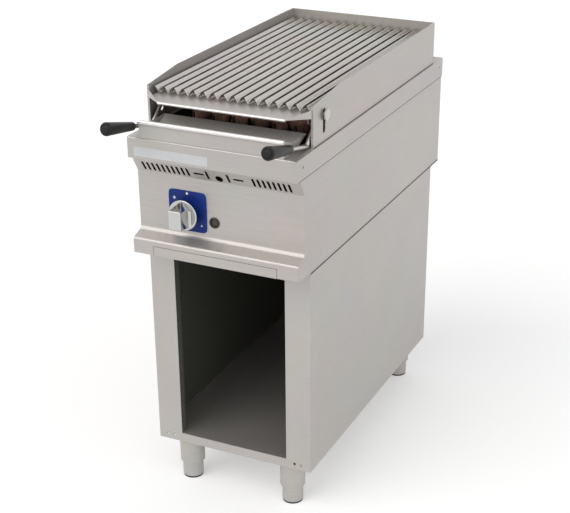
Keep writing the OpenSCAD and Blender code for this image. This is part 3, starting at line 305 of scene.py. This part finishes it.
def extrude(outline, start, end, at):
    """Prism: a closed outline of (u, v) rows carried from start to end; at(u, v, w) gives its points."""
    outline = np.asarray(outline, float)
    w = np.array([start, end])
    points = at(outline[None, :, 0] + 0 * w[:, None], outline[None, :, 1] + 0 * w[:, None],
                w[:, None] + 0 * outline[None, :, 0])
    count = len(outline)
    quads = grid_quads(2, count, wrap_columns=True)
    return points, quads, [list(range(count))[::-1], list(range(count, 2 * count))]


def block(low, high):
    """Box between two corners; vertex number = 4 * (x is high) + 2 * (y is high) + (z is high)."""
    points = [(x, y, z) for x in (low[0], high[0]) for y in (low[1], high[1]) for z in (low[2], high[2])]
    quads = [(0, 1, 3, 2), (4, 6, 7, 5), (0, 4, 5, 1), (2, 3, 7, 6), (0, 2, 6, 4), (1, 5, 7, 3)]
    return points, quads, []


def arc_points(centre, radius, start, end, count):
    """Points on an arc, angles in degrees."""
    angle = np.radians(np.linspace(start, end, count))
    return np.asarray(centre, float) + radius * np.stack([np.cos(angle), np.sin(angle)], -1)


# ---------- sizes and colours ----------

class GrillLooks(bpy.types.PropertyGroup):
    """Colours that a user would change."""
    sheet_colour: bpy.props.FloatVectorProperty(
        name="Sheet", description="Brushed stainless sheet", subtype="COLOR", size=3,
        min=0, max=1, default=linear("#C0BBB7"))
    # the inside's dark colour is painted shade over galvanised sheet
    inner_colour: bpy.props.FloatVectorProperty(
        name="Inner sheet", description="Dark inside of the stand", subtype="COLOR", size=3,
        min=0, max=1, default=linear("#50504A"))
    fire_colour: bpy.props.FloatVectorProperty(
        name="Fire steel", description="Heat-darkened steel of the firebox", subtype="COLOR", size=3,
        min=0, max=1, default=linear("#3A3733"))
    # both rock colours are lighter than the rock's own, painted light for the weakly lit band under the chute
    rock_dark: bpy.props.FloatVectorProperty(
        name="Rock, dark", description="Dark parts of the lava rocks", subtype="COLOR", size=3,
        min=0, max=1, default=linear("#6E4638"))
    rock_light: bpy.props.FloatVectorProperty(
        name="Rock, light", description="Light parts of the lava rocks", subtype="COLOR", size=3,
        min=0, max=1, default=linear("#C69C88"))


class GrillSizes(bpy.types.PropertyGroup):
    """Sizes of the pieces that the construction model leaves to the looks, in metres."""
    label_width: bpy.props.FloatProperty(
        name="Label width", description="Width of the bare label on the lip", unit="LENGTH", default=0.178)
    label_height: bpy.props.FloatProperty(
        name="Label height", description="Height of the bare label on the lip", unit="LENGTH", default=0.021)
    dot: bpy.props.FloatProperty(
        name="Off dot", description="Diameter of the dial's dot", unit="LENGTH", default=0.0055)
    star: bpy.props.FloatProperty(
        name="Spark sign", description="Width of the dial's spark sign", unit="LENGTH", default=0.0105)
    flame: bpy.props.FloatProperty(
        name="Flame sign", description="Height of the dial's large flame", unit="LENGTH", default=0.010)
    edge: bpy.props.FloatProperty(
        name="Channel edge", description="Radius of the channels' rounded edges", unit="LENGTH", default=0.0011)
    rock: bpy.props.FloatProperty(
        name="Rock", description="Width of a lava rock", unit="LENGTH", default=0.046)
    key_light: bpy.props.FloatProperty(
        name="Key light", description="Strength of the main lamp", default=1.2)


# ---------- pieces ----------

class GRILL_OT_sheet_metal(bpy.types.Operator):
    """Finish the body's sheets, the stand and the legs"""
    bl_idname = "grill.sheet_metal"
    bl_label = "Sheet metal"

    def execute(self, context):
        make_materials(context.scene.grill_looks)
        # faces of the stand sides that look inward take the inner sheet, darkened as painted shade
        finish_nodes("sheet", "stand_side_left", "stand_side_right", inside="inner")
        finish_nodes("dull", "gutter")
        finish_nodes("sheet", "stand_shelf", "body_side_left", "body_side_right", "body_back", "body_floor",
                     "fascia", "worktop", "drawer_front", "guard_left", "guard_right", "guard_rear", "grate_chute",
                     "leg_sleeves", "foot_front_left", "foot_front_right", "foot_rear_left", "foot_rear_right")
        # the chute's front hem and the gutter's rolled bead take the lighter edge finish, a painted highlight
        chute_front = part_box("grate_chute")[0].y
        finish_part("grate_chute", "edge", lambda middle: middle.y < chute_front + 0.0062)
        gutter_low, gutter_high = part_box("gutter")
        finish_part("gutter", "edge", lambda middle: middle.y < gutter_low.y + 0.0092
                    and middle.z > gutter_high.z - 0.0092)
        finish_nodes("inner", "stand_back", "stand_rails", "drawer_runners", "drawer_pan")
        finish_nodes("rubber", "pad_front_left", "pad_front_right", "pad_rear_left", "pad_rear_right")
        finish_nodes("bar", "leg_bolts", "join_screws", "pivot_rod", "pivot_bosses", "lever_bar", "lever_heads",
                     "grate_frame", "valve_stem", "grate_channels")
        return {"FINISHED"}


class GRILL_OT_fire_and_gas(bpy.types.Operator):
    """Finish the firebox, the burner, the gas train and the ignition"""
    bl_idname = "grill.fire_and_gas"
    bl_label = "Fire and gas"

    def execute(self, context):
        finish_nodes("fire", "firebox", "flue_duct", "lava_rack", "pilot_burner")
        finish_nodes("tube", "burner", "air_shutter", "gas_pipe")
        finish_nodes("brass", "injector", "gas_inlet", "valve_body", "valve_plug")
        finish_nodes("copper", "thermocouple")
        finish_nodes("aluminium", "feed_pipe", "igniter_nut")
        finish_nodes("ceramic", "spark_electrode")
        finish_nodes("rubber", "ignition_lead")
        finish_nodes("abs", "igniter_body", "igniter_bezel")
        finish_nodes("button", "igniter_button")
        finish_nodes("aluminium", "dial_plate")
        finish_nodes("lava", "lava_rocks")
        finish_nodes("chrome", "knob")
        finish_nodes("grip", "lever_grips")
        return {"FINISHED"}


class GRILL_OT_lava_rocks(bpy.types.Operator):
    """Build two layers of lava rocks over the rack"""
    bl_idname = "grill.lava_rocks"
    bl_label = "Lava rocks"

    def execute(self, context):
        size = context.scene.grill_sizes.rock
        low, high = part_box("lava_rocks")
        random = np.random.default_rng(11)
        columns = max(2, round((high.x - low.x) / (size * 0.96)))
        rows = max(2, round((high.y - low.y) / (size * 0.96)))
        x = np.linspace(low.x + size / 2, high.x - size / 2, columns)
        y = np.linspace(low.y + size / 2, high.y - size / 2, rows)
        lower = np.stack([*np.meshgrid(x, y, indexing="ij"), np.full((columns, rows), low.z + size / 2)], -1)
        gaps = np.stack([*np.meshgrid((x[1:] + x[:-1]) / 2, (y[1:] + y[:-1]) / 2, indexing="ij"),
                         np.full((columns - 1, rows - 1), high.z - size * 0.42)], -1)
        centres = np.concatenate([lower.reshape(-1, 3), gaps.reshape(-1, 3)])
        radii = np.concatenate([np.full(lower[..., 0].size, size / 2), np.full(gaps[..., 0].size, size * 0.42)])
        centres[:, :2] += random.uniform(-0.002, 0.002, (len(centres), 2))
        parts = [self.rock(centre, radius, random) for centre, radius in zip(centres, radii)]
        piece = make_piece("lava_rock_bed", parts, "lava", "grill_body")
        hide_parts("lava_rocks")
        return {"FINISHED"}

    @staticmethod
    def rock(centre, radius, random):
        """A ball cut by fourteen random planes: in each direction the distance to the nearest plane.

        distance = radius * min over planes of depth / cos(angle to the plane's normal), at most 1.
        """
        rows, columns = 7, 11
        polar = np.linspace(0, math.pi, rows + 2)[1:-1, None]
        turn = np.linspace(0, 2 * math.pi, columns, endpoint=False)[None]
        direction = np.stack([np.sin(polar) * np.cos(turn), np.sin(polar) * np.sin(turn),
                              np.cos(polar) + 0 * turn], -1)
        normals = random.normal(size=(14, 3))
        normals /= np.linalg.norm(normals, axis=1, keepdims=True)
        depth = random.uniform(0.62, 0.92, 14)
        lean = np.clip(direction @ normals.T, 0.05, None)
        distance = np.minimum(np.min(depth / lean, -1), 1) * random.uniform(0.93, 1.0, (rows, columns))
        points = np.asarray(centre) + radius * distance[..., None] * direction
        quads = grid_quads(rows, columns, wrap_columns=True)[:, ::-1]
        top = list(range(columns))
        bottom = [(rows - 1) * columns + i for i in range(columns)][::-1]
        return points, quads, [top, bottom]


class GRILL_OT_channels(bpy.types.Operator):
    """Build the V channels of the grate with rounded edges"""
    bl_idname = "grill.channels"
    bl_label = "Grate channels"

    def execute(self, context):
        edge = context.scene.grill_sizes.edge
        low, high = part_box("grate_channels")
        joint_nodes = NODES["grate_channels"].data
        points = np.empty(len(joint_nodes.vertices) * 3)
        joint_nodes.vertices.foreach_get("co", points)
        bottoms = points.reshape(-1, 3)
        bottoms = np.unique(np.round(bottoms[bottoms[:, 2] < low.z + 0.0001, 0], 5))
        wall = 0.002
        half = (high.x - low.x - (bottoms[-1] - bottoms[0])) / 2
        rise = high.z - low.z
        outline = self.outline(half, rise, wall, edge)
        parts = [extrude(outline + [x, low.z], low.y, high.y,
                         lambda u, v, w: np.stack([u, w, v], -1)) for x in bottoms]
        piece = make_piece("grate_channel_set", parts, "bar", "grate", smooth=False)
        soften(piece, 0.0004, 2, 50)
        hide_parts("grate_channels")
        return {"FINISHED"}

    @staticmethod
    def outline(half, rise, wall, edge):
        """Closed V outline about x = 0: outer faces meet in a small radius, the edges are half round.

        The wall's middle line runs from the bottom to each edge; the outline is offset from it by half the wall.
        """
        slope = math.degrees(math.atan2(rise - edge, half - edge))
        bottom = np.array([0.0, wall * 0.62])
        tip = np.array([half - edge, rise - edge])
        right_tip = arc_points(tip, edge, slope - 90, slope + 90, 7)
        left_tip = right_tip[::-1] * [-1, 1]
        below = arc_points(bottom, wall * 0.6, 270 - (90 - slope), 270 + (90 - slope), 5)
        above = bottom + [0, wall * 0.75]
        return np.concatenate([below, right_tip, above[None], left_tip])


class GRILL_OT_grips(bpy.types.Operator):
    """Turn the two tapered grips of the lift handles"""
    bl_idname = "grill.grips"
    bl_label = "Handle grips"

    def execute(self, context):
        mesh = NODES["lever_grips"].data
        points = np.empty(len(mesh.vertices) * 3)
        mesh.vertices.foreach_get("co", points)
        points = points.reshape(-1, 3)
        parts = []
        for side in (-1, 1):
            grip = points[points[:, 0] * side > 0]
            front, axis, length, radius, back_radius = self.measure(grip)
            profile = self.profile(length, radius, back_radius)
            parts.append(lathe(profile, front, axis, (1, 0, 0), 56))
        piece = make_piece("handle_grips", parts, "grip", "lever")
        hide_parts("lever_grips")
        return {"FINISHED"}

    @staticmethod
    def measure(grip):
        """Front centre, direction, length and end radii of a grip from its construction points."""
        middle_x = (grip[:, 0].min() + grip[:, 0].max()) / 2
        spread = grip - grip.mean(0)
        axis = np.linalg.svd(spread, full_matrices=False)[2][0]
        axis = np.array([0, axis[1], axis[2]]) * (1 if axis[1] > 0 else -1)
        axis /= np.linalg.norm(axis)
        along = (grip - [middle_x, 0, 0]) @ axis
        centre = grip.mean(0)
        centre[0] = middle_x
        across = np.array([0, -axis[2], axis[1]])
        offset = (grip @ across)
        middle = (offset.max() + offset.min()) / 2
        front = along.min() * axis + middle * across + [middle_x, 0, 0]
        radius = (grip[:, 0].max() - grip[:, 0].min()) / 2
        rear = grip[along > along.max() - 0.006]
        return front, axis, float(along.max() - along.min()), radius, (np.ptp(rear[:, 0])) / 2

    @staticmethod
    def profile(length, radius, back_radius):
        """Radius against distance from the front: a shallow dome, a round shoulder, a straight taper, a round heel."""
        dome = [(radius * 0.04, 0.0), (radius * 0.45, 0.0004), (radius * 0.72, 0.0012)]
        shoulder = arc_points((0.0048, radius - 0.0036), 0.0036, 200, 90, 9)[:, ::-1]
        heel = arc_points((length - 0.003, back_radius - 0.003), 0.003, 82, 0, 6)[:, ::-1]
        rim = [(back_radius * 0.6, length), (back_radius * 0.56, length - 0.002)]
        return np.concatenate([dome, shoulder, heel, rim])


class GRILL_OT_knob(bpy.types.Operator):
    """Build the chromed tap knob: skirt and broad pointed wing"""
    bl_idname = "grill.knob"
    bl_label = "Tap knob"

    def execute(self, context):
        low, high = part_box("knob")
        centre = np.array([(low.x + high.x) / 2, high.y, (low.z + high.z) / 2])
        radius = (high.x - low.x) / 2
        depth = high.y - low.y
        skirt = self.skirt_profile(radius, depth)
        skirt_piece = make_piece("tap_knob_skirt", [lathe(skirt, centre, (0, -1, 0), (1, 0, 0), 72)], "chrome",
                                 "knob")
        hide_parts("knob")
        wing = make_piece("tap_knob_wing", [self.wing(centre, radius, depth)], "chrome", "knob",
                          smooth=False)
        soften(wing, 0.0009, 3, 12)
        return {"FINISHED"}

    @staticmethod
    def skirt_profile(radius, depth):
        """Radius against height: a flat back, a side that widens to the rim, a round shoulder and a dished face."""
        rim = [(radius * 0.3, 0.0), (radius * 0.93, 0.0), (radius * 0.942, 0.0006), (radius * 0.985, 0.0064)]
        shoulder = arc_points((0.0078, radius - 0.0020), 0.0020, 100, 20, 6)[:, ::-1]
        face = [(radius * 0.90, 0.0099), (radius * 0.80, 0.0092), (radius * 0.1, 0.0090)]
        return np.concatenate([rim, shoulder, face])

    @staticmethod
    def wing(centre, radius, depth):
        """Wing in rings of six corners: at each depth a box of half width w, from -low to high, under a roof.

        The roof falls to both sides from the skirt's top, so a ring's height at distance x is top - abs(x).
        """
        top = radius
        rings = []
        for level, w, low, high in ((0.0095, 0.0220, 0.0258, radius - 0.001), (0.0150, 0.0178, 0.0250, radius * 0.93),
                                    (0.0215, 0.0152, 0.0240, radius * 0.86), (depth - 0.0012, 0.0150, 0.0211, 0.0214),
                                    (depth, 0.0140, 0.0202, 0.0206)):
            shoulder, ridge = min(high, top - w), min(max(top - high, 0.0008), w)
            rings.append([(-w, -low), (w, -low), (w, shoulder - 0.0004), (ridge, high), (-ridge, high),
                          (-w, shoulder - 0.0004)])
            rings[-1] = [(x, -level, z) for x, z in rings[-1]]
        points = centre + np.array(rings)
        quads = grid_quads(len(rings), 6, wrap_columns=True)
        last = [(len(rings) - 1) * 6 + i for i in range(6)]
        return points, quads, [list(range(6))[::-1], last]


class GRILL_OT_dial_signs(bpy.types.Operator):
    """Lay the dial's blue enamel, its dot, spark and flames on its plate"""
    bl_idname = "grill.dial_signs"
    bl_label = "Dial signs"

    def execute(self, context):
        sizes = context.scene.grill_sizes
        low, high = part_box("dial_plate")
        knob_low, knob_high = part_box("knob")
        x, z = (knob_low.x + knob_high.x) / 2, (knob_low.z + knob_high.z) / 2
        enamel = low.y - 0.00012
        plate = self.pierced_plate(((low.x + high.x) / 2, (low.z + high.z) / 2), (high.x - low.x) / 2 - 0.0008,
                                   (x, z), 0.012, enamel, low.y)
        make_piece("dial_enamel", [plate], "dial", "grill_body", smooth=False)
        signs = [
            arc_points((x, z + 0.043), sizes.dot / 2, 0, 345, 24),
            self.spark((x - 0.0315, z + 0.0293), sizes.star / 2),
            self.flame((x - 0.0315, z - 0.029), sizes.flame),
            self.flame((x + 0.0338, z - 0.0264), sizes.flame * 0.5),
        ]
        parts = [extrude(sign, enamel - 0.0001, enamel, lambda u, v, w: np.stack([u, w, v], -1)) for sign in signs]
        make_piece("dial_print", parts, "print", "grill_body", smooth=False)
        return {"FINISHED"}

    @staticmethod
    def pierced_plate(centre, half, bore_centre, bore, front, back):
        """Rounded square with a round bore, as four closed rings: radius = half * (cos^10 + sin^10)^(-1/10)."""
        angle = np.linspace(0, 2 * math.pi, 96, endpoint=False)
        ring = np.stack([np.cos(angle), np.sin(angle)], -1)
        square = np.asarray(centre) + half * (ring ** 10).sum(-1, keepdims=True) ** -0.1 * ring
        hole = np.asarray(bore_centre) + bore * ring
        points = [np.stack([edge[:, 0], y + 0 * angle, edge[:, 1]], -1)
                  for edge, y in ((hole, front), (square, front), (square, back), (hole, back))]
        return np.array(points), grid_quads(4, 96, True, True)[:, ::-1], []

    @staticmethod
    def spark(centre, radius):
        """Six-pointed spark: the radius swings between a long and a short value twelve times round."""
        angle = np.radians(np.arange(0, 360, 30) + 90)
        reach = np.where(np.arange(12) % 2 == 0, radius, radius * 0.3)
        return np.asarray(centre) + np.stack([reach * np.cos(angle), reach * np.sin(angle)], -1)

    @staticmethod
    def flame(centre, height):
        """Drop with a point at the top: width = sin(turn) * (1 - cos(turn)) / 2 about the middle line."""
        turn = np.linspace(0, 2 * math.pi, 28, endpoint=False)
        across = 0.42 * height * np.sin(turn) * (1 - np.cos(turn)) / 1.3
        upward = 0.5 * height * np.cos(turn)
        return np.asarray(centre) + np.stack([across, upward], -1)


class GRILL_OT_joint_shade(bpy.types.Operator):
    """Lay thin dark strips as painted shadow in the gaps where one sheet of the body meets the next"""
    bl_idname = "grill.joints"
    bl_label = "Painted shade lines"

    def execute(self, context):
        top_low, top_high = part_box("worktop")
        side_low, side_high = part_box("body_side_right")
        stand_low, stand_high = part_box("stand_side_right")
        guard_low, guard_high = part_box("guard_right")
        # strips at the steps between sheets, dark as painted shadow
        lines = [
            # under the worktop's skirt
            ((top_high.x - 0.0004, top_low.y + 0.008, top_low.z - 0.0013),
             (top_high.x + 0.0001, side_high.y, top_low.z - 0.0001)),
            # between the folded front and the side sheet
            ((side_high.x - 0.0002, side_low.y, side_low.z + 0.002),
             (side_high.x + 0.0004, side_low.y + 0.0014, top_low.z)),
            # between the body and the stand
            ((stand_high.x - 0.0004, side_low.y, stand_high.z - 0.0007),
             (stand_high.x + 0.0002, side_high.y, stand_high.z + 0.0007)),
            # at the foot of the guard
            ((guard_high.x - 0.0002, guard_low.y, top_high.z), (guard_high.x + 0.0005, guard_high.y, top_high.z + 0.001)),
        ]
        parts = []
        for low, high in lines:
            parts.append(block(low, high))
            parts.append(block((-high[0], *low[1:]), (-low[0], *high[1:])))
        make_piece("painted_joint_shade", parts, "shade_strip", "grill_body", smooth=False)
        return {"FINISHED"}


class GRILL_OT_label(bpy.types.Operator):
    """Lay the bare label film on the worktop's lip"""
    bl_idname = "grill.label"
    bl_label = "Label"

    def execute(self, context):
        sizes = context.scene.grill_sizes
        low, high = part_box("worktop")
        left, bottom = low.x + 0.015, low.z + 0.006
        width, height, corner = sizes.label_width, sizes.label_height, 0.0012
        centres = [(left + width - corner, bottom + corner, -90), (left + width - corner, bottom + height - corner, 0),
                   (left + corner, bottom + height - corner, 90), (left + corner, bottom + corner, 180)]
        outline = np.concatenate([arc_points((x, z), corner, turn, turn + 90, 5) for x, z, turn in centres])
        parts = [extrude(outline, low.y - 0.00015, low.y, lambda u, v, w: np.stack([u, w, v], -1))]
        make_piece("lip_label", parts, "film", "grill_body", smooth=False)
        return {"FINISHED"}


class GRILL_OT_igniter(bpy.types.Operator):
    """Turn the igniter's round bezel and its recessed button"""
    bl_idname = "grill.igniter"
    bl_label = "Igniter"

    def execute(self, context):
        low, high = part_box("igniter_bezel")
        centre = np.array([(low.x + high.x) / 2, high.y, (low.z + high.z) / 2])
        radius, depth = (high.x - low.x) / 2, high.y - low.y
        bore = (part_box("igniter_button")[1].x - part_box("igniter_button")[0].x) / 2
        ring = [(bore + 0.0001, 0.0), (radius, 0.0), (radius, depth * 0.35), (radius * 0.97, depth * 0.7),
                (radius * 0.9, depth * 0.95), (radius * 0.82, depth), (bore + 0.0010, depth),
                (bore + 0.0003, depth * 0.8)]
        parts = [self.closed_ring(ring, centre)]
        bezel = make_piece("igniter_bezel_ring", parts, "abs", "grill_body")
        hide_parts("igniter_bezel")
        low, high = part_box("igniter_button")
        centre[1] = high.y
        depth = high.y - low.y
        cap = [(bore * 0.5, 0.0), (bore * 0.985, 0.0), (bore * 0.985, depth - 0.0012), (bore * 0.93, depth - 0.0003),
               (bore * 0.82, depth), (bore * 0.6, depth - 0.0007), (bore * 0.3, depth - 0.0012),
               (bore * 0.04, depth - 0.0013)]
        button = make_piece("igniter_button_cap", [lathe(cap, centre, (0, -1, 0), (1, 0, 0), 40)], "button",
                            "igniter_key")
        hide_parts("igniter_button")
        return {"FINISHED"}

    @staticmethod
    def closed_ring(profile, centre, segments=48):
        """A lathe shape whose profile closes on itself, so that it has a bore and no caps."""
        points, _, _ = lathe(profile, centre, (0, -1, 0), (1, 0, 0), segments)
        return points, grid_quads(len(profile), segments, True, True), []


class GRILL_OT_studio(bpy.types.Operator):
    """Add the pale floor, the soft lamps, the world and the camera"""
    bl_idname = "grill.studio"
    bl_label = "Studio"

    def execute(self, context):
        scene = context.scene
        scene.view_settings.view_transform = "Standard"
        self.floor()
        self.world(scene)
        self.lamp("key", (48, 0, -28), scene.grill_sizes.key_light, 50, (1.0, 0.98, 0.96))
        self.lamp("fill", (55, 0, 60), 0.5, 80, (0.94, 0.99, 1.0))
        self.camera(scene)
        return {"FINISHED"}

    @staticmethod
    def seen(tree):
        """1 for rays that see the background itself: from the camera, from gloss and through glass."""
        path = add_node(tree, "ShaderNodeLightPath")
        gloss = add_node(tree, "ShaderNodeMath", {"operation": "MAXIMUM"},
                         {0: (path, "Is Camera Ray"), 1: (path, "Is Glossy Ray")})
        return add_node(tree, "ShaderNodeMath", {"operation": "MAXIMUM"},
                        {0: (gloss, 0), 1: (path, "Is Transmission Ray")})

    def floor(self):
        """Plain pale floor; its own pale light shows only to rays that see the background."""
        material, tree, output = new_material("pale_studio_floor")
        seen = self.seen(tree)
        light = add_node(tree, "ShaderNodeMath", {"operation": "MULTIPLY", 1: 0.30}, {0: (seen, 0)})
        shader = add_node(tree, "ShaderNodeBsdfPrincipled",
                          {"Base Color": rgba(linear("#EDEDED")), "Roughness": 0.9,
                           "Emission Color": (1, 1, 1, 1)}, {"Emission Strength": (light, 0)})
        shader.inputs["Specular IOR Level"].default_value = 0.0
        tree.links.new(shader.outputs[0], output.inputs[0])
        mesh = bpy.data.meshes.new("floor")
        mesh.from_pydata([(-12, -8, 0), (12, -8, 0), (12, 20, 0), (-12, 20, 0)], [], [(0, 1, 2, 3)])
        mesh.materials.append(material)
        floor = bpy.data.objects.new("floor", mesh)
        bpy.context.scene.collection.objects.link(floor)

    def world(self, scene):
        """White for rays that see the background, and a soft even light for everything else."""
        world = bpy.data.worlds.new("studio_world")
        world.use_nodes = True
        tree = world.node_tree
        tree.nodes.clear()
        seen = self.seen(tree)
        strength = add_node(tree, "ShaderNodeMapRange", {"To Min": 0.55, "To Max": 1.0}, {"Value": (seen, 0)})
        shine = add_node(tree, "ShaderNodeBackground", {"Color": (1, 1, 1, 1)}, {"Strength": (strength, 0)})
        output = add_node(tree, "ShaderNodeOutputWorld", links={"Surface": (shine, 0)})
        output.is_active_output = True
        scene.world = world

    @staticmethod
    def lamp(name, turn, strength, spread, colour):
        """A distant soft lamp; turn is its direction in degrees about X, Y and Z."""
        lamp = bpy.data.lights.new(name, "SUN")
        lamp.energy = strength
        lamp.color = colour
        lamp.angle = math.radians(spread)
        holder = bpy.data.objects.new(name, lamp)
        holder.rotation_euler = [math.radians(a) for a in turn]
        bpy.context.scene.collection.objects.link(holder)

    @staticmethod
    def camera(scene):
        """Camera at the front right, a little above the grate, looking down at 25 degrees."""
        camera = bpy.data.cameras.new("camera")
        camera.sensor_width = 36.0
        camera.lens = 82.2
        camera.shift_x = -0.0423
        camera.shift_y = 0.0774
        camera.clip_end = 60.0
        holder = bpy.data.objects.new("camera", camera)
        holder.location = (1.2514, -2.6541, 1.7604)
        holder.rotation_euler = (math.radians(90 - 25.384), 0.0, math.radians(24.48))
        scene.collection.objects.link(holder)
        scene.camera = holder


class GRILL_PT_panel(bpy.types.Panel):
    """Lists the builders of the grill's pieces and its sizes and colours"""
    bl_idname = "GRILL_PT_panel"
    bl_label = "Charbroiler grill"
    bl_space_type = "VIEW_3D"
    bl_region_type = "UI"
    bl_category = "Grill"

    def draw(self, context):
        column = self.layout.column()
        for builder in BUILDERS:
            column.operator(builder.bl_idname)
        for group in (context.scene.grill_looks, context.scene.grill_sizes):
            for name in group.__annotations__:
                column.prop(group, name)


BUILDERS = (GRILL_OT_sheet_metal, GRILL_OT_fire_and_gas, GRILL_OT_lava_rocks, GRILL_OT_channels, GRILL_OT_grips,
            GRILL_OT_knob, GRILL_OT_dial_signs, GRILL_OT_joint_shade, GRILL_OT_label, GRILL_OT_igniter, GRILL_OT_studio)
CLASSES = (GrillLooks, GrillSizes, *BUILDERS, GRILL_PT_panel)


def register():
    for cls in CLASSES:
        bpy.utils.register_class(cls)
    bpy.types.Scene.grill_looks = bpy.props.PointerProperty(type=GrillLooks)
    bpy.types.Scene.grill_sizes = bpy.props.PointerProperty(type=GrillSizes)


def unregister():
    del bpy.types.Scene.grill_sizes
    del bpy.types.Scene.grill_looks
    for cls in reversed(CLASSES):
        bpy.utils.unregister_class(cls)


def main():
    register()
    for builder in BUILDERS:
        group, name = builder.bl_idname.split(".")
        getattr(getattr(bpy.ops, group), name)()


if __name__ == "__main__":
    main()
